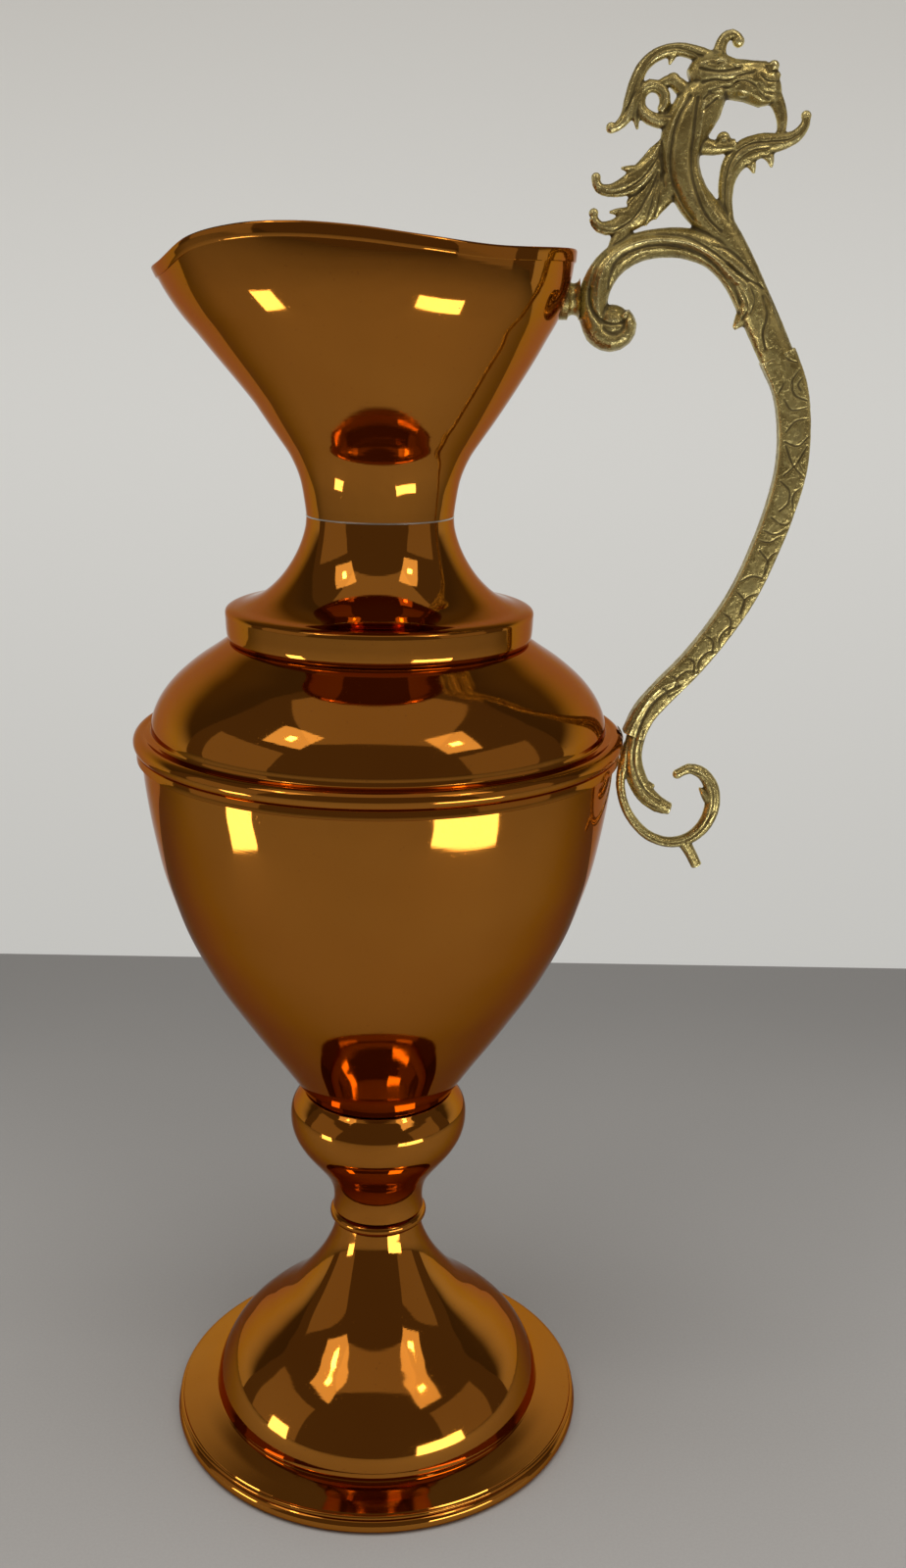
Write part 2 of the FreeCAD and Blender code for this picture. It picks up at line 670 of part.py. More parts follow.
def dragon_mane():
    d = leaf_depth
    upper = stroke([(105.0, 524.0, 9.0, d + 2), (99.6, 518.4, 10.0, d + 0.6), (93.4, 513.2, 8.6, d),
                    (87.2, 509.6, 6.2, d), (81.8, 507.9, 4.4, d - 0.6), (77.6, 508.6, 3.4, d - 1.2),
                    (76.6, 512.0, 2.8, d - 1.6)])
    lower = stroke([(105.4, 514.0, 8.0, d + 2.4), (100.6, 508.0, 9.6, d + 1), (95.2, 502.4, 9.2, d + 0.3),
                    (89.2, 497.9, 7.6, d), (83.4, 495.4, 5.6, d), (78.6, 495.6, 4.2, d - 0.8),
                    (76.4, 498.6, 3.0, d - 1.4)])
    fringe = stroke([(103.2, 511.0, 6.4, d), (100.6, 504.4, 5.0, d - 1), (98.6, 498.8, 1.6, d - 2.4)])
    spur = stroke([(93.4, 514.0, 5.4, d - 0.6), (89.2, 515.2, 3.2, d - 1.4), (85.4, 515.5, 1.2, d - 2.6)])
    tooth = stroke([(90.4, 500.0, 5.4, d - 0.6), (85.8, 500.8, 3.2, d - 1.4), (81.8, 500.6, 1.2, d - 2.6)])
    web = stroke([(99.0, 514.0, 10.0, d - 1), (94.4, 507.6, 9.0, d - 1), (88.6, 502.4, 3.0, d - 2)])
    root = stroke([(88.6, 497.0, 6.0, d), (86.4, 492.6, 7.0, d + 1), (85.4, 488.6, 7.0, d + 1)])
    tips = [knob(76.9, 512.3, 1.7), knob(76.6, 500.2, 1.8)]
    return upper.fuse([lower, fringe, spur, tooth, web, root] + tips)


def front_tendril():
    d = leaf_depth
    stem = stroke([(126.4, 492.0, 6.4, d + 2), (124.6, 499.0, 5.2, d), (123.4, 506.0, 5.0, d), (123.4, 512.4, 5.8, d),
                   (125.2, 518.0, 7.0, d), (129.8, 522.4, 8.2, d), (136.0, 524.6, 7.0, d), (142.4, 525.2, 5.4, d),
                   (147.4, 527.2, 4.4, d - 0.8), (150.2, 531.0, 3.2, d - 1.4), (150.4, 534.0, 2.8, d - 1.6)])
    curl = stroke([(126.0, 523.6, 5.0, d - 0.6), (122.4, 523.2, 4.8, d - 0.4), (118.6, 522.8, 5.4, d),
                   (114.0, 523.4, 6.4, d + 1)])
    lobe = stroke([(129.4, 520.0, 5.6, d - 0.8), (132.2, 517.4, 3.8, d - 1.4), (133.3, 514.2, 1.2, d - 2.6)])
    tip = stroke([(134.6, 523.0, 6.0, d - 0.8), (138.4, 520.2, 4.0, d - 1.4), (139.5, 516.2, 1.2, d - 2.6)])
    return stem.fuse([curl, lobe, tip, knob(121.6, 525.9, 2.6), knob(150.3, 534.2, 1.8)])


def crook_barb():
    return stroke([(137.4, 471.0, 9.0, 7.0), (133.2, 466.0, 6.0, 5.6), (129.8, 461.9, 1.2, 2.4)])


def foot_tendril():
    d = leaf_depth
    loop = stroke([(98.6, 303.0, 4.4, d), (96.6, 295.0, 3.9, d - 0.6), (95.9, 287.0, 3.8, d - 0.8),
                   (97.6, 278.6, 3.8, d - 0.8), (101.8, 271.0, 4.0, d - 0.6), (108.2, 265.0, 4.2, d - 0.4),
                   (116.2, 262.4, 4.4, d), (123.8, 263.9, 5.0, d), (129.8, 269.2, 5.8, d), (132.8, 277.0, 6.4, d),
                   (132.3, 285.2, 6.2, d), (128.4, 291.2, 5.2, d - 0.4), (122.8, 293.2, 4.4, d - 0.8),
                   (118.0, 290.9, 3.4, d - 1)])
    spur = stroke([(121.6, 264.0, 5.4, d), (125.4, 258.0, 4.8, d - 0.4), (128.4, 252.0, 4.2, d - 0.8)])
    barb = stroke([(131.4, 281.0, 5.0, d - 0.6), (129.0, 283.6, 3.2, d - 1.4), (127.4, 285.4, 1.0, d - 2.6)])
    return loop.fuse([spur, barb, knob(118.1, 290.8, 2.0)])


def vessel_form(clearance):
    """Girdle and bowl as one plain filled form, a little larger by the clearance."""
    grow = clearance
    bead = (bead_centre + girdle_bead + grow, z_bead)
    top = (shoulder_radius + grow, z_bead + girdle_bead + 0.4 + grow)
    under = (skirt_radius + grow, z_girdle - grow)
    side = [(r + grow, z) for r, z in bowl_curve() if z < z_girdle - 1]
    low = side[0]
    edges = [
        curve(side),
        line(side[-1], under),
        line(under, (skirt_radius + grow, z_bead - girdle_bead * 0.8)),
        arc((skirt_radius + grow, z_bead - girdle_bead * 0.8), bead, top),
        line(top, (shoulder_radius + grow, z_bead + shoulder_height * 0.3)),
        line((shoulder_radius + grow, z_bead + shoulder_height * 0.3), (0, z_bead + shoulder_height * 0.3)),
        line((0, z_bead + shoulder_height * 0.3), (0, low[1])),
        line((0, low[1]), low),
    ]
    return spin(edges)


def handle_casting():
    body = strap()
    pieces = [strap_leaf(), crook(), scroll(), crook_barb(), dragon_neck(), dragon_head(), dragon_horn(),
              dragon_crest(), dragon_curl(), dragon_mane(), front_tendril(), foot_tendril()]
    for piece in pieces:
        body = body.fuse(piece)
    body = body.cut(vessel_form(handle_rest_gap))
    face = funnel_wall_x() + boss_length
    flat = Part.makeBox(30, 40, 40, Vec(face - 30, -20, z_boss - 20))
    body = body.cut(flat)
    return body.cut(screw_bore())


def screw_bore():
    start = funnel_wall_x() - wall - 2
    return Part.makeCylinder(screw_radius, boss_length + screw_bite + 3, Vec(start, 0, z_boss), Vec(1, 0, 0))


def handle_boss(outside):
    """Turned waisted spacer between the funnel and the casting."""
    x0 = funnel_wall_x() - 3
    x1 = funnel_wall_x() + boss_length
    middle = funnel_wall_x() + boss_length * 0.5
    edges = [
        Part.LineSegment(Vec(x0, 0, 0), Vec(x0, 0, boss_radius)).toShape(),
        Part.LineSegment(Vec(x0, 0, boss_radius), Vec(funnel_wall_x() + 0.4, 0, boss_radius)).toShape(),
        Part.Arc(Vec(funnel_wall_x() + 0.4, 0, boss_radius), Vec(middle, 0, boss_waist), Vec(x1, 0, boss_radius)).toShape(),
        Part.LineSegment(Vec(x1, 0, boss_radius), Vec(x1, 0, 0)).toShape(),
        Part.LineSegment(Vec(x1, 0, 0), Vec(x0, 0, 0)).toShape(),
    ]
    spun = Part.Face(Part.Wire(edges)).revolve(Vec(0, 0, 0), Vec(1, 0, 0), 360)
    spun = spun.translated(Vec(0, 0, z_boss))
    return spun.cut(outside).cut(screw_bore())


def seal_washer(inside):
    """Soft washer under the screw head, bedded on the curved wall."""
    x1 = funnel_wall_x()
    blank = Part.makeCylinder(seal_radius, 4, Vec(x1 - 3.2 - wall, 0, z_boss), Vec(1, 0, 0))
    keep = Part.makeBox(40, 40, 40, Vec(x1 - wall - seal_thickness - 0.35, -20, z_boss - 20))
    return blank.common(inside).common(keep).cut(screw_bore())


def handle_screw():
    seat = funnel_wall_x() - wall - seal_thickness - 0.35
    head = Part.makeCylinder(screw_head_radius, screw_head_height, Vec(seat - screw_head_height, 0, z_boss), Vec(1, 0, 0))
    head = head.makeFillet(screw_head_height * 0.45, [head.Edges[2]])
    slot = Part.makeBox(0.8, screw_head_radius * 2 + 1, 0.9,
                        Vec(seat - screw_head_height, -screw_head_radius - 0.5, z_boss - 0.45))
    shank_length = funnel_wall_x() + boss_length + screw_bite - seat - 0.5
    shank = Part.makeCylinder(screw_radius, shank_length, Vec(seat, 0, z_boss), Vec(1, 0, 0))
    return head.fuse(shank).cut(slot).removeSplitter()


def handle_solder(casting):
    """Solder bed between the foot of the strap and the girdle."""
    low = place(100.6, drawn_low[1])
    bed = Part.makeBox(9, 7, 7.6, Vec(low.x - 7.5, -3.5, low.z - 3.8))
    vessel = vessel_form(0)
    return bed.cut(vessel).cut(casting).common(vessel_form(handle_rest_gap))


def main():
    outside = funnel_form(0, 0)
    inside = funnel_form(wall, wall)
    funnel = mouth_funnel(outside, inside)
    casting = handle_casting()
    bell = foot_bell()
    save(bell, "foot_bell")
    save(foot_rim_wire(), "foot_rim_wire")
    save(stem_ring(), "stem_ring")
    save(knop_shell(), "knop_shell")
    save(body_bowl(), "body_bowl")
    save(shoulder_dome(), "shoulder_dome")
    save(girdle_solder(), "girdle_solder")
    save(neck_cone(), "neck_cone")
    save(collar_solder(), "collar_solder")
    save(neck_solder(), "neck_solder")
    save(funnel, "mouth_funnel")
    save(rim_binding(funnel), "rim_binding")
    save(tie_plate(), "tie_plate")
    save(tie_stud(), "tie_stud")
    save(foot_spreader(bell), "foot_spreader")
    save(tie_washer(), "tie_washer")
    save(tie_nut(), "tie_nut")
    save(casting, "handle_casting")
    save(handle_boss(outside), "handle_boss")
    save(seal_washer(inside), "seal_washer")
    save(handle_screw(), "handle_screw")
    save(handle_solder(casting), "handle_solder")


main()
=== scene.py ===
import bpy
import math
import numpy as np
from mathutils import Matrix, Vector


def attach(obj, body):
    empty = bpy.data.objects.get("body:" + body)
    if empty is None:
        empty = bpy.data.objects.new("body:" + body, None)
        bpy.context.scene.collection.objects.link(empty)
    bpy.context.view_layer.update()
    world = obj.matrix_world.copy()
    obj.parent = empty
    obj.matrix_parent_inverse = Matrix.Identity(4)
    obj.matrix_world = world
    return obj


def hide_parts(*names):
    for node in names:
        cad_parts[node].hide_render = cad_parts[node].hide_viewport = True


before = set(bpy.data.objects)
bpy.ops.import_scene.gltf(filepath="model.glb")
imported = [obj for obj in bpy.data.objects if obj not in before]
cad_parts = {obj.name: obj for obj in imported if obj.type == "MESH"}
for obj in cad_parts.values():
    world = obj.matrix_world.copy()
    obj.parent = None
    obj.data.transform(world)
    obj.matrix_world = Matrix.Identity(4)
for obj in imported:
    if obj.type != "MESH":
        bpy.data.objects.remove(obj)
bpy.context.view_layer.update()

MM = 0.001
TURN = 2 * math.pi

# Sizes of the ewer in millimetres, the same as in the CAD model.
SHEET = 0.9
FOOT_RADIUS = 87.8
ROLL = 3.1
CREASE_RADIUS = FOOT_RADIUS - 2.2
FLANGE_Z = 8.8
BELL_RADIUS = CREASE_RADIUS - 15.4
BELL_Z = 11.0
STEP_Z = 13.4
RING_Z = 90.4
KNOP_Z = 97.0
BOWL_Z = 152.5
BOWL_SEAT = 30.4
GIRDLE_Z = 299.0
BOWL_RADIUS = 92.4
SKIRT_RADIUS = 94.4
BEAD = 3.4
BEAD_R = SKIRT_RADIUS - BEAD * 0.65
BEAD_Z = GIRDLE_Z + 3.6 + BEAD * math.cos(math.radians(30))
SEAT_Z = BEAD_Z + BEAD + 34.6
COLLAR_Z = SEAT_Z + 12.6
COLLAR_RADIUS = 59.3
COLLAR_LIP = 56.4
THROAT = 28.0
SEAM_Z = COLLAR_Z + 34.6 + 0.6
FUNNEL_HEIGHT = 95.6
RIM_Z = SEAM_Z + FUNNEL_HEIGHT
FUNNEL_RADIUS = 70.5
LIP_REACH = 15.5
LIP_START = 0.42
RIM_CREST = 4.6
RIM_DIP = 9.5


# ---------------------------------------------------------------- line helpers
def between(low, high, shares):
    return [(low[0] + (high[0] - low[0]) * u, low[1] + (high[1] - low[1]) * v) for u, v in shares]


def flow(points, spacing=1.4):
    """A smooth line through the points, about one place each spacing."""
    p = [Vector(q) for q in points]
    p = [2 * p[0] - p[1]] + p + [2 * p[-1] - p[-2]]
    line = []
    for a, b, c, d in zip(p, p[1:], p[2:], p[3:]):
        count = max(2, round((c - b).length / spacing))
        t0 = 0.0
        t1 = t0 + max((b - a).length, 1e-6) ** 0.5
        t2 = t1 + max((c - b).length, 1e-6) ** 0.5
        t3 = t2 + max((d - c).length, 1e-6) ** 0.5
        for i in range(count):
            t = t1 + (t2 - t1) * i / count
            a1 = a * ((t1 - t) / (t1 - t0)) + b * ((t - t0) / (t1 - t0))
            a2 = b * ((t2 - t) / (t2 - t1)) + c * ((t - t1) / (t2 - t1))
            a3 = c * ((t3 - t) / (t3 - t2)) + d * ((t - t2) / (t3 - t2))
            b1 = a1 * ((t2 - t) / (t2 - t0)) + a2 * ((t - t0) / (t2 - t0))
            b2 = a2 * ((t3 - t) / (t3 - t1)) + a3 * ((t - t1) / (t3 - t1))
            line.append(tuple(b1 * ((t2 - t) / (t2 - t1)) + b2 * ((t - t1) / (t2 - t1))))
    line.append(tuple(points[-1]))
    return line


def round_part(centre, radius, start, end, count=10):
    """Part of a circle, by its angles in degrees."""
    spots = []
    for i in range(count + 1):
        a = math.radians(start + (end - start) * i / count)
        spots.append((centre[0] + radius * math.cos(a), centre[1] + radius * math.sin(a)))
    return spots


def beside(points, distance):
    """The same line moved sideways by the sheet thickness."""
    moved = []
    last = len(points) - 1
    for i, (r, z) in enumerate(points):
        r0, z0 = points[max(i - 1, 0)]
        r1, z1 = points[min(i + 1, last)]
        run = math.hypot(r1 - r0, z1 - z0)
        moved.append((r - (z1 - z0) / run * distance, z + (r1 - r0) / run * distance))
    return moved


# ---------------------------------------------------------------- turned sheet
def begin(name, place):
    """A new piece that starts as one corner point at place, in edit mode."""
    bpy.ops.object.select_all(action="DESELECT")
    bpy.ops.mesh.primitive_plane_add(size=MM, location=(0, 0, 0))
    piece = bpy.context.object
    piece.name = name
    piece.data.name = name
    bpy.ops.object.mode_set(mode="EDIT")
    bpy.ops.mesh.select_all(action="SELECT")
    bpy.ops.mesh.merge(type="CENTER")
    bpy.ops.transform.translate(value=(place[0] * MM, 0, place[1] * MM))
    return piece


def turned(name, outline, steps=192):
    """Draws the outline point by point, then spins it round the upright axis."""
    piece = begin(name, outline[0])
    for (r0, z0), (r1, z1) in zip(outline, outline[1:]):
        step = ((r1 - r0) * MM, 0, (z1 - z0) * MM)
        bpy.ops.mesh.extrude_region_move(TRANSFORM_OT_translate={"value": step})
    bpy.ops.mesh.select_all(action="SELECT")
    bpy.ops.mesh.spin(steps=steps, angle=TURN, center=(0, 0, 0), axis=(0, 0, 1))
    bpy.ops.mesh.select_all(action="SELECT")
    bpy.ops.mesh.remove_doubles(threshold=0.004 * MM)
    bpy.ops.mesh.normals_make_consistent(inside=False)
    bpy.ops.object.mode_set(mode="OBJECT")
    return piece


def finished(piece, nodes, material, sharp=32):
    """Shades the piece, gives it its material and puts it in the frame."""
    bpy.ops.object.select_all(action="DESELECT")
    piece.select_set(True)
    bpy.context.view_layer.objects.active = piece
    bpy.ops.object.shade_smooth_by_angle(angle=math.radians(sharp))
    piece.data.materials.clear()
    piece.data.materials.append(material)
    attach(piece, "root")
    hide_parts(*nodes)


# ---------------------------------------------------------------- shader maths
class Value:
    """One number output in a material, so that sums can be written plainly."""

    def __init__(self, nodes, socket):
        self.nodes = nodes
        self.socket = socket

    def _sum(self, kind, first, second):
        return self.nodes.add("ShaderNodeMath", {"operation": kind}, {0: first, 1: second})

    def __add__(self, other):
        return self._sum("ADD", self, other)

    def __radd__(self, other):
        return self._sum("ADD", other, self)

    def __sub__(self, other):
        return self._sum("SUBTRACT", self, other)

    def __rsub__(self, other):
        return self._sum("SUBTRACT", other, self)

    def __mul__(self, other):
        return self._sum("MULTIPLY", self, other)

    def __rmul__(self, other):
        return self._sum("MULTIPLY", other, self)

    def power(self, other):
        return self._sum("POWER", self, other)


class Nodes:
    """The nodes of one material."""

    def __init__(self, name):
        self.material = bpy.data.materials.new(name)
        self.material.use_nodes = True
        self.tree = self.material.node_tree
        self.tree.nodes.clear()

    def add(self, kind, settings=None, inputs=None, output=0):
        """Any node: its type, its settings, then the values or links of its sockets."""
        node = self.tree.nodes.new(kind)
        for key, value in (settings or {}).items():
            setattr(node, key, value)
        for key, value in (inputs or {}).items():
            if isinstance(value, Value):
                self.tree.links.new(value.socket, node.inputs[key])
            else:
                node.inputs[key].default_value = value
        return Value(self, node.outputs[output]) if node.outputs else None

    def place(self):
        return self.add("ShaderNodeTexCoord", output=3)

    def noise(self, where, scale, detail=2.0, rough=0.5, twist=0.0):
        return self.add("ShaderNodeTexNoise", {}, {"Vector": where, "Scale": scale, "Detail": detail,
                                                   "Roughness": rough, "Distortion": twist})

    def fade(self, value, low, high):
        """Rises softly from 0 at low to 1 at high."""
        return self.add("ShaderNodeMapRange", {"interpolation_type": "SMOOTHSTEP"},
                        {"Value": value, "From Min": low, "From Max": high})

    def blend(self, share, first, second):
        return self.add("ShaderNodeMix", {"data_type": "RGBA"}, {0: share, 6: first, 7: second}, output=2)

    def split(self, vector):
        node = self.tree.nodes.new("ShaderNodeSeparateXYZ")
        self.tree.links.new(vector.socket, node.inputs[0])
        return [Value(self, s) for s in node.outputs]

    def join(self, x, y, z):
        return self.add("ShaderNodeCombineXYZ", {}, {0: x, 1: y, 2: z})

    def bump(self, height, strength, distance):
        return self.add("ShaderNodeBump", {}, {"Height": height, "Strength": strength, "Distance": distance})

    def finish(self, inputs):
        shader = self.add("ShaderNodeBsdfPrincipled", {}, inputs)
        self.add("ShaderNodeOutputMaterial", {}, {"Surface": shader})
        return self.material


def turned_place(n):
    """Where a spot is on a turned piece: distance from the axis, height and way round."""
    x, y, z = n.split(n.place())
    radius = (x * x + y * y).power(0.5)
    way = n.add("ShaderNodeMath", {"operation": "ARCTAN2"}, {0: y, 1: x})
    return x, y, z, radius, way


def lacquered_copper(name):
    n = Nodes(name)
    x, y, z, radius, way = turned_place(n)
    lathe = n.join(radius * 2600, z * 2600, way * 0.55)
    broad = n.join(radius * 240, z * 240, way * 0.9)
    fine_lines = n.noise(lathe, 1.0, 2.0, 0.6)
    soft_lines = n.noise(broad, 1.0, 2.0, 0.55)
    patch = n.noise(n.place(), 22.0, 3.0, 0.6)
    cloud = n.noise(n.place(), 6.0, 3.0, 0.55, 0.4)
    speck = n.fade(n.noise(n.place(), 900.0, 1.0), 0.735, 0.78)
    rub = n.noise(n.join(x * 900, y * 900 + z * 60, z * 900 + x * 60), 1.0, 2.0)
    scratch = n.fade(rub, 0.70, 0.74) * n.fade(patch, 0.45, 0.7)
    warm = (0.475, 0.172, 0.020, 1)
    gold = (0.53, 0.212, 0.029, 1)
    dull = (0.32, 0.11, 0.02, 1)
    colour = n.blend(n.fade(cloud, 0.35, 0.7), warm, gold)
    colour = n.blend(speck * 0.55, colour, dull)
    rough = 0.025 + fine_lines * 0.035 + n.fade(patch, 0.45, 0.75) * 0.035 + scratch * 0.12 + speck * 0.2
    height = fine_lines * 0.6 + soft_lines * 1.2 + patch * 0.5 - scratch * 0.5 - speck * 0.6
    return n.finish({
        "Base Color": colour, "Metallic": 1.0, "Roughness": rough, "IOR": 1.45,
        "Specular Tint": (0.62, 0.36, 0.24, 1),
        "Coat Weight": 0.12, "Coat Roughness": 0.03, "Coat IOR": 1.45, "Coat Tint": (1.0, 0.95, 0.80, 1),
        "Normal": n.bump(height, 0.08, 0.00008),
    })


def aged_brass_with_painted_shade(name):
    n = Nodes(name)
    relief = n.add("ShaderNodeAttribute", {"attribute_name": "relief"}, output=2)
    spot = n.place()
    sand = n.noise(spot, 1700.0, 2.0, 0.6)
    pits = n.noise(spot, 620.0, 3.0, 0.65, 0.4)
    lumps = n.noise(spot, 240.0, 2.0, 0.5)
    stain = n.noise(spot, 75.0, 4.0, 0.65, 0.6)
    wear = n.noise(spot, 330.0, 3.0, 0.65)
    # hollow darkens the engraved lines and other sunken spots by their relief: painted shade in the recesses,
    # mixed with stain and wear noise.
    hollow = n.fade(0.0 - relief + (stain - 0.5) * 0.9 + (wear - 0.5) * 0.7, 0.0, 1.0)
    raised = n.fade(relief + (wear - 0.5) * 0.9, 0.15, 0.95)
    body = n.blend(n.fade(stain, 0.35, 0.68), (0.44, 0.345, 0.125, 1), (0.72, 0.60, 0.235, 1))
    colour = n.blend(raised, body, (1.0, 0.88, 0.42, 1))
    # The dark brown laid into the hollows is painted shade, with some stain and wear mixed in.
    colour = n.blend(hollow * 0.85, colour, (0.055, 0.036, 0.013, 1))
    colour = n.blend(n.fade(pits, 0.58, 0.72) * 0.35, colour, (0.14, 0.10, 0.04, 1))
    rough = 0.24 - raised * 0.06 + hollow * 0.28 + n.fade(pits, 0.5, 0.75) * 0.12
    height = sand * 0.35 - n.fade(pits, 0.45, 0.72) * 0.8 + lumps * 0.8
    return n.finish({
        "Base Color": colour, "Metallic": 0.90 - hollow * 0.3, "Roughness": rough,
        "Normal": n.bump(height, 0.45, 0.00030),
    })


def plain_metal(name, dark, light, rough, scale=700.0):
    n = Nodes(name)
    grain = n.noise(n.place(), scale, 3.0, 0.6)
    stain = n.noise(n.place(), 45.0, 3.0, 0.6)
    colour = n.blend(n.fade(stain, 0.3, 0.7), (*dark, 1), (*light, 1))
    worn = rough + grain * 0.14 + n.fade(stain, 0.5, 0.8) * 0.1
    return n.finish({"Base Color": colour, "Metallic": 1.0, "Roughness": worn,
                     "Normal": n.bump(grain, 0.25, 0.00012)})


def soft_rubber(name):
    n = Nodes(name)
    grain = n.noise(n.place(), 900.0, 3.0, 0.6)
    colour = n.blend(grain, (0.018, 0.017, 0.016, 1), (0.040, 0.038, 0.035, 1))
    return n.finish({"Base Color": colour, "Roughness": 0.62 + grain * 0.2,
                     "Normal": n.bump(grain, 0.3, 0.00015)})


copper = lacquered_copper("lacquered_copper")
brass = aged_brass_with_painted_shade("aged_cast_brass_with_painted_shade")
solder = plain_metal("tin_solder", (0.42, 0.40, 0.37), (0.62, 0.60, 0.56), 0.30)
dull_solder = plain_metal("stained_solder", (0.20, 0.12, 0.06), (0.30, 0.19, 0.10), 0.42)
steel = plain_metal("plain_steel", (0.36, 0.35, 0.34), (0.52, 0.51, 0.50), 0.32)
rubber = soft_rubber("seal_rubber")


# ---------------------------------------------------------------- copper pieces
def bell_line():
    share = [(0, 0), (0.02, 0.073), (0.075, 0.165), (0.165, 0.26), (0.295, 0.35), (0.46, 0.443),
             (0.61, 0.535), (0.725, 0.625), (0.825, 0.717), (0.905, 0.81), (0.965, 0.905), (1, 1)]
    return between((BELL_RADIUS + 0.3, STEP_Z), (17.9, RING_Z), share)


def make_bell():
    outer = flow(bell_line())
    inner = beside(outer, SHEET)
    roll = (FOOT_RADIUS - ROLL, ROLL)
    flange = flow([(BELL_RADIUS + 0.25, BELL_Z), (BELL_RADIUS + 6.0, BELL_Z - 1.15),
                   (BELL_RADIUS + 11.0, BELL_Z - 1.75), (CREASE_RADIUS - 0.25, FLANGE_Z)], 1.2)
    under = beside(flange, -SHEET)
    small_bead = round_part((CREASE_RADIUS + 0.45, FLANGE_Z - 1.35), 0.95, 118, -30, 8)
    big_bead = round_part(roll, ROLL, 62, -72, 16)
    wrap = round_part(roll, ROLL, -108, -185, 10)
    hollow = round_part(roll, ROLL - SHEET, -185, 40, 20)
    step = [(BELL_RADIUS + 0.3, STEP_Z), (BELL_RADIUS + 0.42, STEP_Z - 0.35),
            (BELL_RADIUS + 0.30, STEP_Z - 0.75),
            (BELL_RADIUS - 0.05, STEP_Z - 1.3), (BELL_RADIUS, BELL_Z + 0.25)]
    outline = outer[::-1] + step[1:] + flange + small_bead + big_bead
    outline += [(roll[0] + 0.7, 0), (roll[0] - 0.7, 0)] + wrap + hollow + under[::-1]
    outline += [(BELL_RADIUS - SHEET, BELL_Z - SHEET)] + inner + [outer[-1]]
    return turned("foot_bell_spun", outline, 224)


def make_ring():
    mid = (RING_Z + KNOP_Z) / 2
    half = (KNOP_Z - RING_Z) / 2
    edge = 20.6 - half * 0.85
    bulge = flow([(edge - 0.5, RING_Z + 0.05), (edge - 0.1, RING_Z + 0.55), (edge + 0.35, RING_Z + 0.75),
                  (20.1, mid - 1.5), (20.6, mid), (20.1, mid + 1.5), (edge + 0.35, KNOP_Z - 0.75),
                  (edge - 0.1, KNOP_Z - 0.55), (edge - 0.5, KNOP_Z - 0.05)], 0.45)
    bore = 14.0
    return turned("stem_ring_turned", [(bore, RING_Z)] + bulge + [(bore, KNOP_Z), (bore, RING_Z)], 160)


def knop_line():
    share = [(0.02, 0), (0, 0.08), (0.04, 0.18), (0.16, 0.277), (0.36, 0.373), (0.60, 0.473), (0.81, 0.57),
             (0.95, 0.67), (1, 0.78), (0.955, 0.88)]
    return between((18.9, KNOP_Z), (36.9, BOWL_Z), share) + [(31.4, BOWL_Z)]


def make_knop():
    outer = flow(knop_line(), 1.1)
    inner = beside(outer, SHEET)
    outline = outer[:-1] + [(31.3, BOWL_Z - 0.25), (31.15, BOWL_Z - 0.05), (30.8, BOWL_Z)]
    return turned("knop_spun", outline + inner[::-1] + [outer[0]], 176)


def bowl_line():
    share = [(0, 0), (0.061, 0.038), (0.19, 0.119), (0.325, 0.201), (0.453, 0.283), (0.575, 0.365),
             (0.678, 0.447),
             (0.766, 0.529), (0.833, 0.611), (0.891, 0.693), (0.932, 0.775), (0.965, 0.857), (0.990, 0.94),
             (1, 1)]
    return between((BOWL_SEAT, BOWL_Z), (BOWL_RADIUS, GIRDLE_Z), share)


def make_bowl():
    floor = BOWL_Z - 7.5
    base = flow([(0, floor), (8, floor), (17, floor + 0.2), (25, floor + 3.1), (BOWL_SEAT, BOWL_Z)], 1.8)
    side = flow(bowl_line(), 1.6)
    lip = SKIRT_RADIUS - SHEET - 0.1
    outer = base[:-1] + side + [(lip, GIRDLE_Z + 0.8), (lip, GIRDLE_Z + 3.2)]
    inner = beside(base[:-1] + side, SHEET)
    inner[0] = (0, inner[0][1])
    inner = inner + [(lip - SHEET, GIRDLE_Z + 1.4), (lip - SHEET, GIRDLE_Z + 3.2)]
    return turned("bowl_spun", outer + inner[::-1], 224)


def shoulder_line():
    share = [(0, 0), (0.001, 0.09), (0.085, 0.29), (0.255, 0.50), (0.53, 0.72), (0.80, 0.885), (0.945, 0.972),
             (1, 1)]
    return between((88.4, BEAD_Z + BEAD + 0.9), (COLLAR_LIP + 1.8, SEAT_Z), share)


def make_shoulder():
    side = flow(shoulder_line(), 1.4)
    inner = beside(side, SHEET)
    centre = (BEAD_R, BEAD_Z)
    bead = round_part(centre, BEAD, -58, 112, 22)
    top = bead[-1]
    cove = flow([top, (top[0] - 0.7, top[1] + 0.12), (88.75, BEAD_Z + BEAD + 0.25),
                 (88.4, BEAD_Z + BEAD + 0.9)], 0.35)
    hollow = round_part(centre, BEAD - SHEET, 118, -52, 14)
    skirt = SKIRT_RADIUS
    skirt_top = BEAD_Z - BEAD * 0.95
    band = [(skirt - SHEET, GIRDLE_Z + 0.1), (skirt - SHEET + 0.15, GIRDLE_Z), (skirt - 0.2, GIRDLE_Z),
            (skirt, GIRDLE_Z + 0.2), (skirt - 0.05, skirt_top - 0.35), (skirt - 0.2, skirt_top),
            (skirt - 0.62, skirt_top + 0.18)]
    lip_top = SEAT_Z + 6.6
    lip = [(COLLAR_LIP, SEAT_Z), (COLLAR_LIP, lip_top), (COLLAR_LIP - SHEET, lip_top),
           (COLLAR_LIP - SHEET, SEAT_Z - SHEET)]
    outline = band + bead + cove[1:-1] + side + lip
    outline += inner[::-1] + hollow + [(skirt - SHEET, skirt_top - 0.6), band[0]]
    return turned("shoulder_spun", outline, 224)


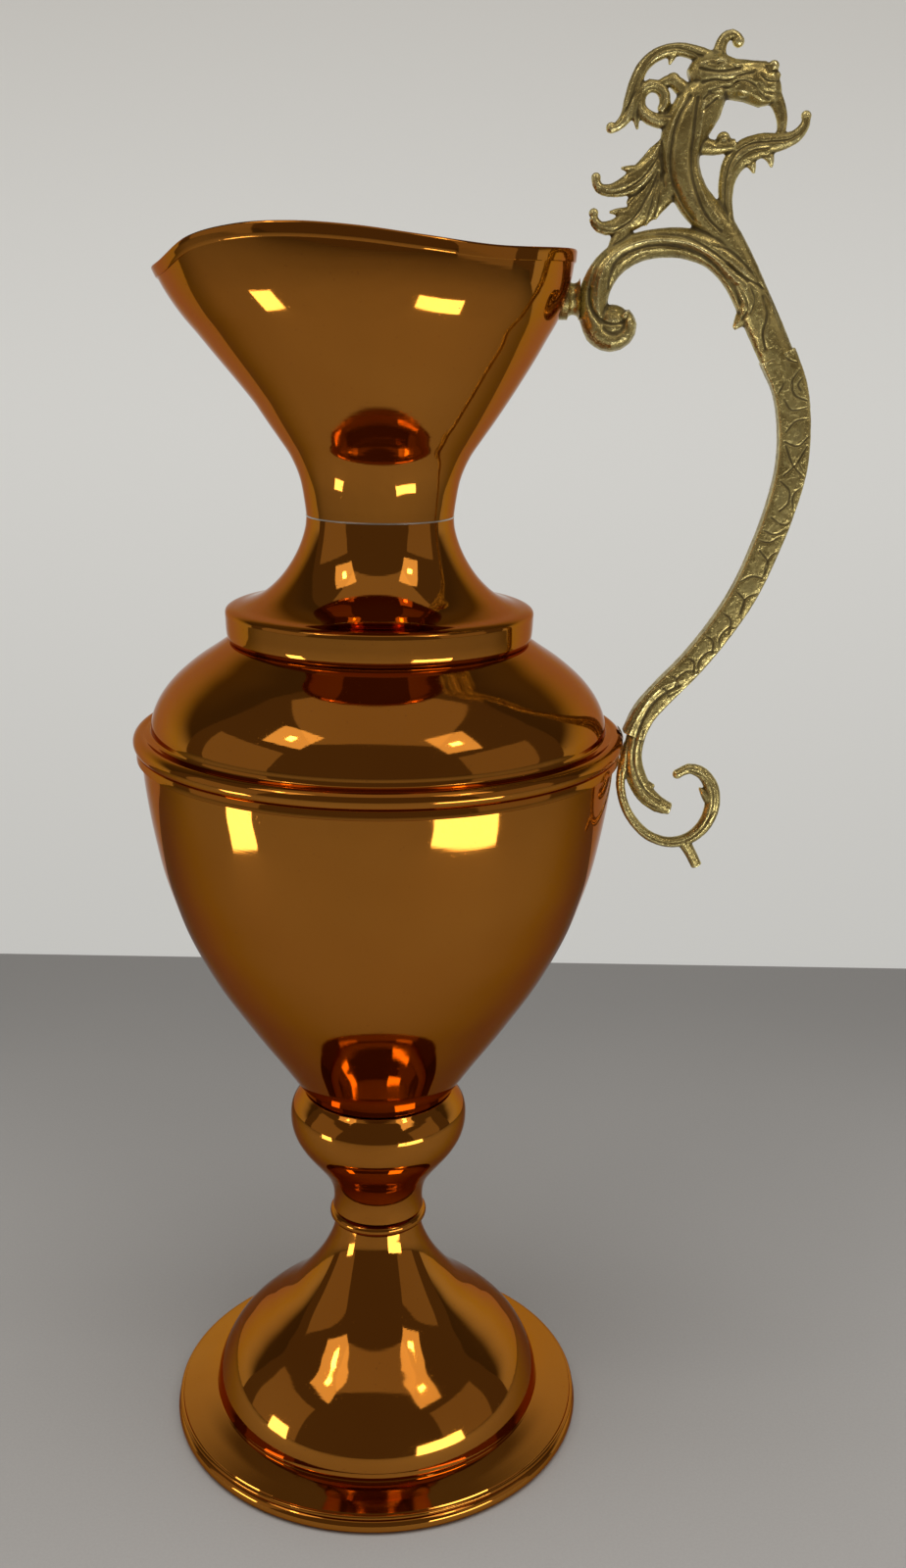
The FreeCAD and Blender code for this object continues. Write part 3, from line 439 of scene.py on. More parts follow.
def neck_line():
    share = [(0, 0), (0.013, 0.12), (0.077, 0.31), (0.182, 0.50), (0.335, 0.69), (0.55, 0.865), (0.77, 0.955),
             (0.93, 0.985)]
    return between((THROAT, COLLAR_Z + 34.6), (COLLAR_RADIUS, COLLAR_Z), share)


def make_neck():
    turn = [(COLLAR_RADIUS - 0.75, COLLAR_Z - 0.15), (COLLAR_RADIUS - 0.22, COLLAR_Z - 0.75),
            (COLLAR_RADIUS, COLLAR_Z - 1.6)]
    cone = flow(neck_line() + turn, 0.9)
    low = COLLAR_RADIUS - 0.3
    band = flow([(COLLAR_RADIUS, COLLAR_Z - 1.6), (COLLAR_RADIUS - 0.12, COLLAR_Z - 4.4), (low, SEAT_Z + 4.6),
                 (low - 0.3, SEAT_Z + 2.3), (low - 0.9, SEAT_Z + 0.9), (low - 1.75, SEAT_Z + 0.12)], 0.5)
    outer = cone + band[1:]
    inner = beside(outer, -SHEET)
    inner[0] = (THROAT - SHEET, outer[0][1])
    return turned("neck_spun", outer + inner[::-1] + [outer[0]], 208)


def make_solder_line():
    z = SEAM_Z - 0.6
    outline = [(THROAT - SHEET, z), (THROAT - 0.05, z - 0.05), (THROAT + 0.10, z + 0.12),
               (THROAT + 0.12, z + 0.3),
               (THROAT + 0.10, z + 0.48), (THROAT - 0.05, z + 0.65), (THROAT - SHEET, z + 0.6),
               (THROAT - SHEET, z)]
    return turned("throat_solder_line", outline, 160)


# ---------------------------------------------------------------- funnel
FUNNEL_TABLE = [(0, 0), (0.014, 0.05), (0.052, 0.14), (0.13, 0.224), (0.235, 0.295), (0.34, 0.362),
                (0.50, 0.47),
                (0.68, 0.60), (0.775, 0.675), (0.875, 0.755), (0.945, 0.84), (0.98, 0.92), (1, 1),
                (1.005, 1.09)]
FUNNEL_LINE = flow([(v * 100, u * 100) for u, v in FUNNEL_TABLE], 0.4)


def along(line, at):
    """Second value of a line of pairs at one first value."""
    for (a0, b0), (a1, b1) in zip(line, line[1:]):
        if at <= a1:
            return b0 + (b1 - b0) * max(at - a0, 0) / max(a1 - a0, 1e-9)
    return line[-1][1]


def funnel_reach(level, way):
    """How far the funnel's outer face is from the axis, at a height and a way round."""
    share = (level - SEAM_Z) / FUNNEL_HEIGHT
    base = THROAT + (FUNNEL_RADIUS - THROAT) * along(FUNNEL_LINE, max(share, 0) * 100) / 100
    rise = max(share - LIP_START, 0) / (1 - LIP_START)
    return base + LIP_REACH * rise ** 1.25 * ((1 - math.cos(way)) / 2) ** 5


def rim_points():
    """The wavy rim seen from the side: distance along the lip's direction, and height."""
    reach = FUNNEL_RADIUS + LIP_REACH
    return [(-reach - 8, RIM_Z - RIM_DIP - 3.5), (-reach, RIM_Z - RIM_DIP),
            (-reach * 0.88, RIM_Z - RIM_DIP * 0.75),
            (-reach * 0.72, RIM_Z + RIM_CREST * 0.05), (-reach * 0.52, RIM_Z + RIM_CREST * 0.83),
            (-reach * 0.30, RIM_Z + RIM_CREST), (-reach * 0.06, RIM_Z + RIM_CREST * 0.75),
            (FUNNEL_RADIUS * 0.24, RIM_Z + RIM_CREST * 0.22), (FUNNEL_RADIUS * 0.6, RIM_Z - RIM_CREST * 0.28),
            (FUNNEL_RADIUS, RIM_Z), (FUNNEL_RADIUS + 10, RIM_Z + 1.0)]


RIM_LINE = flow(rim_points(), 0.8)


def rim_height(way):
    """Height of the rim one way round; the rim's reach hangs on its height, so it is found by steps."""
    level = RIM_Z
    for _ in range(4):
        level = along(RIM_LINE, funnel_reach(level, way) * math.cos(way))
    return level


def shape_funnel(piece):
    """Draws the spun trumpet out into its lip and lets its top edge wave."""
    heights = {}
    for v in piece.data.vertices:
        radius = math.hypot(v.co.x, v.co.y) / MM
        level = v.co.z / MM
        way = math.atan2(v.co.y, v.co.x)
        key = round(way, 4)
        if key not in heights:
            heights[key] = rim_height(way)
        share = (level - SEAM_Z) / FUNNEL_HEIGHT
        if share <= 0:
            continue
        inset = funnel_reach(level, 0) - radius
        lift = (heights[key] - RIM_Z) * min(share, 1.0) ** 2
        moved = level + lift
        reach = funnel_reach(moved, way) - inset
        v.co = (reach * math.cos(way) * MM, reach * math.sin(way) * MM, moved * MM)
    piece.data.update()


def make_funnel():
    levels = [SEAM_Z + FUNNEL_HEIGHT * i / 72 for i in range(73)]
    outer = [(funnel_reach(level, 0), level) for level in levels]
    inner = [(r - SHEET, z) for r, z in outer if z > SEAM_Z + 1.0]
    lap = THROAT - SHEET - 0.1
    outline = [(lap - SHEET, SEAM_Z - 6), (lap, SEAM_Z - 6), (lap, SEAM_Z)] + outer + inner[::-1]
    outline += [(lap - SHEET, SEAM_Z + SHEET), (lap - SHEET, SEAM_Z - 6)]
    piece = turned("funnel_spun", outline, 224)
    shape_funnel(piece)
    return piece


def make_binding():
    """A strip folded over the edge; its section is inset from the outer face and height above the rim."""
    section = [(0.0, -3.92), (-0.42, -4.02), (-0.60, -3.75), (-0.60, -2.8), (-0.60, -1.5), (-0.60, -0.4),
               (-0.45, 0.12), (-0.1, 0.48), (0.45, 0.60), (1.0, 0.48), (1.35, 0.12), (1.50, -0.4),
               (1.50, -1.5), (1.50, -2.8), (1.50, -3.75), (1.32, -4.02), (0.9, -3.92), (0.9, 0.0),
               (0.0, 0.0), (0.0, -3.92)]
    outline = [(funnel_reach(RIM_Z + dz, 0) - inset, RIM_Z + dz) for inset, dz in section]
    piece = turned("rim_binding_folded", outline, 224)
    shape_funnel(piece)
    return piece


finished(make_bell(), ["foot_bell"], copper)
finished(make_ring(), ["stem_ring"], copper)
finished(make_knop(), ["knop_shell"], copper)
finished(make_bowl(), ["body_bowl"], copper)
finished(make_shoulder(), ["shoulder_dome"], copper)
finished(make_neck(), ["neck_cone"], copper)
finished(make_solder_line(), ["neck_solder"], solder)
finished(make_funnel(), ["mouth_funnel"], copper)
finished(make_binding(), ["rim_binding"], copper)


# ---------------------------------------------------------------- handle strokes
def ring_turn(angle, centre):
    """Turns what is selected about the front-to-back axis; with no window the sign is reversed."""
    bpy.ops.transform.rotate(value=-angle, orient_axis="Y", orient_type="GLOBAL", center_override=centre)


def stroke(stations, sides=20, square=1.0):
    """A tapering bar along a drawn line. Each station is x, z, width, depth and, if off the middle, y."""
    full = [(s + (0.0,))[:5] for s in stations]
    spots = [Vector((s[0], s[4], s[1])) * MM for s in full]
    last = len(spots) - 1
    turns = []
    for i in range(len(spots)):
        step = spots[min(i + 1, last)] - spots[max(i - 1, 0)]
        turns.append(math.atan2(step.x, step.z))
    bpy.ops.object.select_all(action="DESELECT")
    bpy.ops.mesh.primitive_circle_add(vertices=sides, radius=0.5 * MM, fill_type="NGON", location=(0, 0, 0))
    piece = bpy.context.object
    for v in piece.data.vertices:
        for axis in (0, 1):
            share = v.co[axis] / (0.5 * MM)
            v.co[axis] = math.copysign(abs(share) ** square, share) * 0.5 * MM
    bpy.ops.object.mode_set(mode="EDIT")
    bpy.ops.mesh.select_all(action="SELECT")
    bpy.ops.transform.resize(value=(full[0][2], full[0][3], 1))
    bpy.ops.transform.translate(value=spots[0])
    ring_turn(turns[0], spots[0])
    for i in range(1, len(spots)):
        bpy.ops.mesh.extrude_region_move(TRANSFORM_OT_translate={"value": spots[i] - spots[i - 1]})
        ring_turn(-turns[i - 1], spots[i])
        bpy.ops.transform.resize(value=(full[i][2] / full[i - 1][2], full[i][3] / full[i - 1][3], 1),
                                 center_override=spots[i])
        ring_turn(turns[i], spots[i])
    bpy.ops.mesh.select_all(action="SELECT")
    bpy.ops.mesh.normals_make_consistent(inside=False)
    bpy.ops.object.mode_set(mode="OBJECT")
    return piece


def lay(stations, spacing=2.2):
    """Stations filled in smoothly along the line."""
    rows = [(s + (0.0,))[:5] for s in stations]
    line = flow([(s[0], s[1], 0) for s in rows], spacing)
    result = []
    lengths = [0.0]
    for a, b in zip(rows, rows[1:]):
        lengths.append(lengths[-1] + math.dist(a[:2], b[:2]))
    run = 0.0
    total = sum(math.dist(a, b) for a, b in zip(line, line[1:]))
    for i, spot in enumerate(line):
        if i:
            run += math.dist(line[i - 1], spot)
        at = run / total * lengths[-1]
        k = 0
        while k < len(rows) - 2 and at > lengths[k + 1]:
            k += 1
        part = (at - lengths[k]) / max(lengths[k + 1] - lengths[k], 1e-9)
        part = min(max(part, 0), 1)
        mix = [rows[k][j] + (rows[k + 1][j] - rows[k][j]) * part for j in (2, 3, 4)]
        result.append((spot[0], spot[1], mix[0], mix[1], mix[2]))
    return result


def ball(x, z, radius, y=0.0, flat=1.0):
    """A knob, pressed flat from front to back."""
    bpy.ops.object.select_all(action="DESELECT")
    bpy.ops.mesh.primitive_uv_sphere_add(segments=20, ring_count=12, radius=radius * MM,
                                         location=(x * MM, y * MM, z * MM))
    piece = bpy.context.object
    piece.scale = (1, flat, 1)
    bpy.ops.object.transform_apply(location=True, rotation=True, scale=True)
    return piece


def drawn(strokes, knobs, flat_bar=None):
    """All the strokes and knobs of one casting, joined in one mesh; a flat bar has squarer sides."""
    made = [stroke(lay(item)) for item in strokes] + [ball(*knob) for knob in knobs]
    if flat_bar:
        made.append(stroke(lay(flat_bar), sides=28, square=0.34))
    bpy.ops.object.select_all(action="DESELECT")
    for piece in made:
        piece.select_set(True)
    bpy.context.view_layer.objects.active = made[0]
    bpy.ops.object.join()
    return bpy.context.object


def cast_skin(piece, name, grain):
    """Melts the strokes together into one even skin."""
    piece.name = name
    piece.data.name = name
    remesh = piece.modifiers.new("melt", "REMESH")
    remesh.mode = "VOXEL"
    remesh.voxel_size = grain * MM
    bpy.ops.object.modifier_apply(modifier="melt")
    soften = piece.modifiers.new("soften", "SMOOTH")
    soften.factor = 0.5
    soften.iterations = 3
    bpy.ops.object.modifier_apply(modifier="soften")


def skin_of(mesh):
    """Places and outward directions of all the corner points."""
    co = np.empty(len(mesh.vertices) * 3)
    mesh.vertices.foreach_get("co", co)
    out = np.empty(len(mesh.vertices) * 3)
    mesh.vertex_normals.foreach_get("vector", out)
    return co.reshape(-1, 3), out.reshape(-1, 3)


def distance_to(line, x, z):
    best = np.full(len(x), 1e9)
    for (ax, az), (bx, bz) in zip(line, line[1:]):
        dx, dz = bx - ax, bz - az
        t = np.clip(((x - ax) * dx + (z - az) * dz) / max(dx * dx + dz * dz, 1e-9), 0, 1)
        best = np.minimum(best, np.hypot(x - ax - dx * t, z - az - dz * t))
    return best


def engrave(piece, cuts, deep, wide):
    """Chases lines into both faces: each is (depth, width, points); a negative depth raises a ridge."""
    mesh = piece.data
    co, no = skin_of(mesh)
    co = co / MM
    push = np.zeros(len(co))
    for depth, width, points in cuts:
        line = flow(points, 1.0)
        depth, width = depth * deep, width * wide
        xs = [p[0] for p in line]
        zs = [p[1] for p in line]
        reach = width * 2.4
        near = (co[:, 0] > min(xs) - reach) & (co[:, 0] < max(xs) + reach)
        near &= (co[:, 2] > min(zs) - reach) & (co[:, 2] < max(zs) + reach) & (np.abs(no[:, 1]) > 0.12)
        spots = np.nonzero(near)[0]
        if len(spots) == 0:
            continue
        away = distance_to(line, co[spots, 0], co[spots, 2])
        push[spots] -= depth * np.exp(-(away / width) ** 2)
    side = np.sign(no[:, 1]) * np.clip(np.abs(no[:, 1]) * 1.25, 0, 1)
    co[:, 1] += side * push
    mesh.vertices.foreach_set("co", (co * MM).ravel())
    mesh.update()


def joined_edges(mesh):
    ends = np.empty(len(mesh.edges) * 2, dtype=np.int32)
    mesh.edges.foreach_get("vertices", ends)
    return ends.reshape(-1, 2).T


def even_out(values, a, b, rounds):
    """Each spot takes the mean of the spots joined to it, a number of times."""
    count = len(values)
    share = np.bincount(a, minlength=count) + np.bincount(b, minlength=count)
    for _ in range(rounds):
        total = np.bincount(a, weights=values[b], minlength=count)
        total += np.bincount(b, weights=values[a], minlength=count)
        values = total / share
    return values


def sand_grain(piece, fine, coarse, seed):
    """The rough skin that a sand mould leaves."""
    mesh = piece.data
    count = len(mesh.vertices)
    a, b = joined_edges(mesh)
    chance = np.random.default_rng(seed)
    small = even_out(chance.normal(size=count), a, b, 1)
    large = even_out(chance.normal(size=count), a, b, 9)
    rise = small / small.std() * fine + large / large.std() * coarse
    co, no = skin_of(mesh)
    co = co + no * rise[:, None] * MM
    mesh.vertices.foreach_set("co", co.ravel())
    mesh.update()


def note_relief(piece, rounds, full):
    """Keeps, for the finish, how far each spot stands above or below the skin around it."""
    mesh = piece.data
    co, no = skin_of(mesh)
    a, b = joined_edges(mesh)
    smooth = np.stack([even_out(co[:, axis], a, b, rounds) for axis in range(3)], axis=1)
    height = np.einsum("ij,ij->i", co - smooth, no) / (full * MM)
    height = np.clip(height - np.median(height), -1.5, 1.5)
    layer = mesh.attributes.new("relief", "FLOAT", "POINT")
    layer.data.foreach_set("value", height.astype(np.float32))


# ---------------------------------------------------------------- handle, drawn stroke by stroke
# A stroke's stations are x, z, width and depth; a knob is x, z, radius and, if not round, y and flatness.
BAR = [
    (146, 452, 13.6, 9.2), (151.6, 440, 12.8, 8), (154.2, 426, 12, 8), (154.3, 411, 11.6, 8),
    (151.3, 396, 11, 8), (146.3, 380, 10.6, 8), (139.6, 363.5, 10.2, 8), (131, 349, 9.8, 8),
    (120.8, 335.3, 9.6, 8), (110.6, 324, 9.6, 7.8), (103.8, 315.5, 9.4, 7.4), (99.8, 306.5, 9, 7),
]
CROOK = [
    (153, 433, 6, 6), (150.8, 440, 10.6, 7.6), (147.6, 448, 12.8, 9), (142.6, 458, 13.2, 10),
    (136.4, 469.6, 13.4, 11), (129.6, 480.4, 13, 11.5), (120.5, 487.6, 11.8, 11.5), (110, 490.4, 10.8, 11.5),
    (99.5, 490.2, 10.2, 11.5), (90, 487.6, 10.4, 11.5), (82.2, 481.6, 10.8, 11.5), (77.9, 473, 11, 11.5),
    (77.6, 463.5, 10.8, 11.5),
]
SCROLL = [
    (77.8, 464.5, 10.4, 12), (79.4, 458.8, 9, 13.6), (84.4, 456, 8, 14.6), (89, 457.8, 7.2, 14.6),
    (90.8, 462, 6.2, 14), (88.6, 466, 5, 13),
]
BARB = [(138, 470.4, 10, 8.2), (134.6, 467.2, 8.4, 7), (131.8, 464, 5.2, 5), (129.5, 461, 1.4, 2.2)]
NECK = [
    (143.6, 465.6, 3, 6.6), (139.4, 472.2, 5.4, 9), (133.4, 480.4, 8.8, 10), (127.8, 488.4, 10.4, 10.2),
    (122.6, 494.8, 11.8, 10.6), (117.2, 500, 12.4, 11), (111.4, 506.4, 12.6, 12), (107.6, 514, 13.2, 12),
    (106.4, 521.5, 14.8, 12), (108.2, 529, 16.8, 12), (112.6, 537, 17, 12.2), (116.6, 544, 13, 12),
]
SKULL = [
    (108.2, 545.6, 5, 7), (111.6, 546.8, 12, 11), (117, 546.4, 15.6, 13), (123.4, 545.3, 13.6, 13),
    (129, 544.8, 14, 11.4), (134, 543.9, 15.4, 10.4), (138, 543.8, 12.6, 9), (140.2, 544.4, 6, 5),
]
FANG = [
    (137.6, 541.5, 6.4, 5), (140.4, 537, 5, 4.4), (141.9, 532.6, 4, 3.8), (141.9, 528.6, 3.2, 3.2),
    (140.8, 525.2, 2.8, 3),
]
HORN = [
    (118.2, 551, 6.4, 5), (118.5, 555.4, 4.4, 4.2), (119.9, 558.6, 3.8, 3.8), (122.6, 559.9, 3.4, 3.6),
    (124.8, 558.6, 3.4, 3.6),
]
CREST = [
    (116, 551, 6.6, 7), (109.5, 553.8, 5, 5.4), (103, 554.7, 4.4, 5), (96.8, 553, 4.5, 5),
    (91.9, 549, 4.4, 5), (89.4, 543.2, 4.8, 5), (88.2, 537.4, 5.4, 5), (86.6, 532.4, 4.4, 4),
    (83.6, 529.2, 3.2, 3.4), (81.6, 528.6, 3, 3.2),
]
SPUR = [(90.2, 537, 4, 4), (90.2, 532.4, 2.8, 3.2), (90.9, 528.4, 0.9, 1.6)]
THORN = [(102.4, 554, 4, 3.6), (101.6, 551.6, 2.4, 3), (101, 549.6, 0.8, 1.6)]
CURL = [
    (105.2, 532.6, 6, 6), (100.4, 531.2, 5, 5.4), (95.2, 532.2, 4.8, 5), (91.4, 535.4, 4.6, 4.8),
    (91.4, 540.2, 4.6, 4.8), (94.8, 542.8, 4.6, 4.8), (98.8, 541.6, 4.4, 4.6), (100.2, 537.6, 4, 4.4),
    (98.6, 534.4, 3, 3.6),
]
LINK = [(98.4, 543.4, 3.2, 4), (101.6, 544.6, 4.2, 4.8), (104.6, 543.2, 5.2, 5.4), (108, 540.4, 6, 6.4)]
UPPER_MANE = [
    (105, 524, 10, 7), (99.8, 518.2, 12, 5.8), (93.8, 512.8, 10.2, 5.2), (87.4, 509.4, 6.8, 5),
    (81.8, 507.9, 4.4, 4.6), (77.9, 508.8, 3.6, 4.2), (76.6, 511.9, 3, 3.8),
]
LOWER_MANE = [
    (105.4, 514, 9, 7.2), (100.6, 508, 11, 6), (95, 502.2, 10.2, 5.3), (89.2, 497.9, 8, 5),
    (83.4, 495.4, 5.4, 5), (78.6, 495.6, 4.2, 4.4), (76.2, 498.8, 3.2, 3.8),
]
FRINGE = [(103.2, 511, 6.4, 5), (100.6, 504.4, 4.8, 4), (98.6, 498.4, 1.2, 2)]
LOBES = [(98, 508, 7, 5), (96.6, 502, 5.6, 4.6), (95, 496.2, 1.4, 2.2)]
MANE_SPUR = [(93.4, 514, 5.4, 4.6), (89.2, 515.2, 3, 3.6), (85.6, 515.5, 0.9, 1.8)]
MANE_TOOTH = [(90.4, 500, 5.4, 4.6), (85.8, 500.8, 3, 3.6), (82, 500.6, 0.9, 1.8)]
MANE_WEB = [(99, 514, 12, 4.6), (94.4, 507.6, 10, 4.4), (89, 502.6, 3.4, 3.4)]
MANE_ROOT = [(88.6, 497, 5.6, 5), (86.6, 492.8, 6.2, 5.6), (85.4, 488.6, 6.6, 6.4)]
TENDRIL = [
    (126.4, 492, 6.2, 7), (124.6, 499, 5, 5), (123.6, 506, 5, 5), (123.8, 512.4, 6.2, 5),
    (125.8, 517.8, 8.2, 5), (130.2, 521.8, 9.4, 5), (136.2, 524.2, 8, 5), (142.4, 525.2, 5.8, 5),
    (147.2, 527, 4.6, 4.4), (150.2, 530.8, 3.4, 3.8), (150.5, 533.8, 2.9, 3.4),
]
TENDRIL_CURL = [
    (126, 523.6, 5, 4.6), (122.4, 523.2, 4.6, 4.8), (118.6, 522.8, 5.2, 5.2), (114, 523.4, 6.4, 6),
]
LOBE = [(129.4, 520, 5.4, 4.4), (132.2, 517.4, 3.6, 3.6), (133.2, 514.4, 0.9, 1.8)]
TIP = [(134.6, 523, 5.8, 4.4), (138.4, 520.2, 3.8, 3.6), (139.4, 516.4, 0.9, 1.8)]

DRAGON_STROKES = [
    CROOK, SCROLL, BARB, NECK, SKULL, FANG, HORN, CREST, SPUR, THORN, CURL, LINK, UPPER_MANE, LOWER_MANE,
    FRINGE, LOBES, MANE_SPUR, MANE_TOOTH, MANE_WEB, MANE_ROOT, TENDRIL, TENDRIL_CURL, LOBE, TIP,
]
TIP_KNOBS = [
    (124.8, 557.6, 2.2), (81.6, 528.8, 2), (102.8, 544.8, 2.5), (76.9, 512.2, 1.8), (76.5, 500.2, 1.8),
    (121.6, 525.8, 2.5), (150.4, 533.8, 1.9), (84.6, 461.6, 7.4, 0, 0.86),
]
FACE_KNOBS = [
    (137.4, 549.6, 2, 2, 1), (138.8, 546.6, 1.4, 1.8, 1), (138.9, 543.8, 1.3, 1.8, 1),
    (138.6, 541.2, 1.2, 1.8, 1), (118.6, 549.2, 2.8, 4.8, 0.6), (113.6, 548.6, 2.4, 4.2, 0.7),
    (127, 542.8, 3.8, 3.2, 0.7), (117, 541.4, 3.6, 4.2, 0.6),
]
BOTH_SIDES = FACE_KNOBS + [(x, z, r, -y, flat) for x, z, r, y, flat in FACE_KNOBS]

DRAGON_LINES = [
    (0.75, 0.8, [(80, 462.5), (76.5, 466.5), (75.5, 471.5), (76.5, 478.5), (79.5, 485), (84, 489),
        (89.5, 491.8), (96, 493), (103.5, 493), (110.5, 492), (117, 489), (122.5, 485.5), (127.5, 481.5),
        (132.5, 477.5)]),
    (0.95, 1.1, [(82.5, 474.5), (83, 479), (84.5, 483), (87.5, 486), (92, 488), (97.5, 489.3), (103, 489.5),
        (109.5, 488.6), (115.5, 486.3), (120.5, 483), (124.5, 479), (128, 475), (130.5, 470.5)]),
    (-0.5, 0.7, [(79.5, 466), (78.8, 471), (79.2, 477), (82, 483.5), (87, 488), (94, 490.6), (103, 491.2),
        (111, 490), (118, 486.6), (124, 481.6), (129, 477)]),
    (0.4, 0.5, [(85.5, 479), (86, 483), (88.5, 486)]),
    (0.4, 0.5, [(86.6, 475.5), (88, 480), (91.5, 484.5), (96, 486.6)]),
    (0.9, 0.8, [(76, 474), (76, 470.5), (77.5, 466.5), (81, 463), (84.5, 462), (88.5, 463), (90.5, 466),
        (90.3, 468.5)]),
    (0.5, 0.6, [(82, 467.5), (84.5, 466), (87.5, 467)]),
    (0.85, 1.0, [(111, 538.5), (110.4, 532.5), (110, 526), (109.8, 519.5), (110.4, 513), (112, 508),
        (114.6, 502.5), (118, 498), (122, 494.5)]),
    (0.9, 1.0, [(108.5, 539), (106, 535), (104, 530), (103, 524.5), (102.6, 518.5), (103.4, 513),
        (105.4, 508), (108.2, 503), (112, 498.5)]),
    (0.6, 0.7, [(105.5, 538.5), (102.4, 532.5), (100.4, 527), (99.6, 520.5), (100, 514.5), (101, 509.5)]),
    (-0.45, 0.8, [(113.4, 537), (112.8, 530), (112.4, 523), (112.4, 516), (113.6, 510), (116.6, 504),
        (121, 498.6)]),
    (-0.35, 0.7, [(107, 538), (104.2, 533), (102, 527), (101.2, 520), (101.8, 513.4), (104, 507)]),
    (0.9, 0.8, [(111.5, 548), (115, 547.3), (118, 547), (121.5, 547.4), (125, 548.2)]),
    (-0.6, 0.8, [(111.5, 549.8), (114.5, 550.8), (118, 550.6), (122, 549.6), (126, 549.8), (131, 550.8),
        (135.5, 550.2)]),
    (0.5, 0.4, [(117.2, 549.4), (119.4, 550.2), (121.8, 549.6), (123.4, 548.8)]),
    (0.7, 0.7, [(112.5, 543.5), (116.5, 544.5), (121, 544.2), (125.5, 546), (130, 547)]),
    (0.6, 0.6, [(114.5, 540.5), (118, 541.8), (122, 542.3), (124.5, 544)]),
    (0.6, 0.6, [(113, 538), (114.5, 539.6), (118, 540.2), (121.5, 539.8)]),
    (0.6, 0.5, [(134.5, 549), (135.6, 547.4), (137.5, 547.8), (140, 548)]),
    (0.6, 0.5, [(132.6, 546.4), (134.6, 544.6), (137, 544.4), (140, 544.6)]),
    (0.5, 0.5, [(132, 543.5), (134, 541.4), (136.5, 540.8), (139.5, 540.8)]),
    (-0.5, 0.8, [(120.5, 539.5), (125, 541), (129.5, 540), (134, 538), (137.5, 536.4)]),
    (0.5, 0.6, [(123, 543.6), (127, 544.4), (130.6, 543), (133, 540.6), (136.4, 538.6)]),
    (0.6, 0.6, [(113, 534.5), (115.5, 536.6), (118, 538.6)]),
    (0.6, 0.6, [(77.5, 508.5), (81, 507.2), (85.5, 507.7), (89.5, 509.5), (93, 512), (96, 515.5),
        (98.5, 519.5), (99.5, 524.5)]),
    (0.55, 0.6, [(86, 515), (90, 516.8), (94, 519.2), (97.5, 523.2), (99, 528)]),
    (0.6, 0.6, [(88, 504.5), (92, 507.5), (95.5, 511), (97.8, 515), (99.4, 519.5)]),
    (0.6, 0.6, [(76.5, 496.5), (79.5, 494.8), (83.5, 494.2), (87.5, 496), (91.5, 499.5), (94.5, 504.5),
        (97, 509.5), (98.7, 514.5)]),
    (0.5, 0.6, [(83, 499.5), (87.5, 502), (90.5, 505), (94, 509)]),
    (0.55, 0.6, [(98.3, 499.5), (99.2, 504.5), (99.6, 509.5), (100, 514)]),
    (0.5, 0.6, [(95, 497), (96.5, 502), (97.7, 507), (98.9, 511.5)]),
    (-0.35, 0.6, [(84, 505.8), (88.5, 507), (92.6, 509.6), (96.2, 513.4), (98.6, 517.6)]),
    (-0.35, 0.6, [(84.6, 512.6), (89, 513.6), (93.4, 516), (97, 520)]),
    (-0.35, 0.6, [(80, 493.6), (85.6, 494.4), (90, 497), (93.4, 501), (96, 506)]),
    (0.7, 0.75, [(112, 552.3), (107, 554.3), (102, 554.9), (96.8, 553.4), (92.8, 550), (90.4, 545.6),
        (88.6, 540.4), (87, 536), (84.6, 532), (82, 529.5)]),
    (0.5, 0.5, [(91, 538), (90.5, 534), (90.5, 529.5)]),
    (0.45, 0.5, [(89.5, 540.5), (87.5, 536.5), (86, 532)]),
    (0.5, 0.6, [(102, 532.6), (97, 532.6), (92.6, 535.6), (92.2, 540), (95.4, 542.2), (99, 540.2),
        (99.2, 536.6)]),
    (0.65, 0.65, [(124.8, 498), (123.4, 503), (123, 508), (123.2, 513), (124.4, 517.8), (127, 521.8),
        (131.5, 524.2), (138, 525), (145, 526), (149.6, 529.5), (150.6, 533)]),
    (0.5, 0.55, [(127, 513.5), (130, 516.7), (134.5, 519.2), (139.5, 521.2), (144.5, 522.8)]),
    (0.5, 0.55, [(125, 515), (127.5, 518.8), (131.5, 521.8), (137.5, 523)]),
    (0.5, 0.5, [(118.6, 524), (120, 525.6), (122.2, 526.4), (123.4, 525)]),
    (0.55, 0.6, [(129, 476.5), (132, 472.5), (133.5, 468), (132, 464.5)]),
    (0.5, 0.6, [(126.5, 478.5), (129.5, 474), (130.8, 469), (130.3, 464)]),
    (0.5, 0.6, [(133.5, 476), (135.5, 471.5), (134.5, 466.5)]),
    (0.7, 0.8, [(138.5, 472.5), (140.5, 466), (139.5, 460), (141, 454)]),
    (0.7, 0.7, [(125, 483.7), (130, 480), (134.5, 477.4), (139, 475), (143.4, 469), (146.4, 462)]),
    (0.5, 0.6, [(119.5, 489.6), (125, 488), (131, 483.6), (137, 476.8), (142, 468)]),
    (0.4, 0.45, [(120.4, 557.8), (119.6, 554.6), (119.4, 551.6)]),
]

DRAGON = drawn(DRAGON_STROKES, TIP_KNOBS + BOTH_SIDES)
cast_skin(DRAGON, "handle_crook_and_dragon", grain=0.435)
engrave(DRAGON, DRAGON_LINES, deep=0.85, wide=0.85)
sand_grain(DRAGON, fine=0.012, coarse=0.032, seed=11)
note_relief(DRAGON, rounds=14, full=0.30)

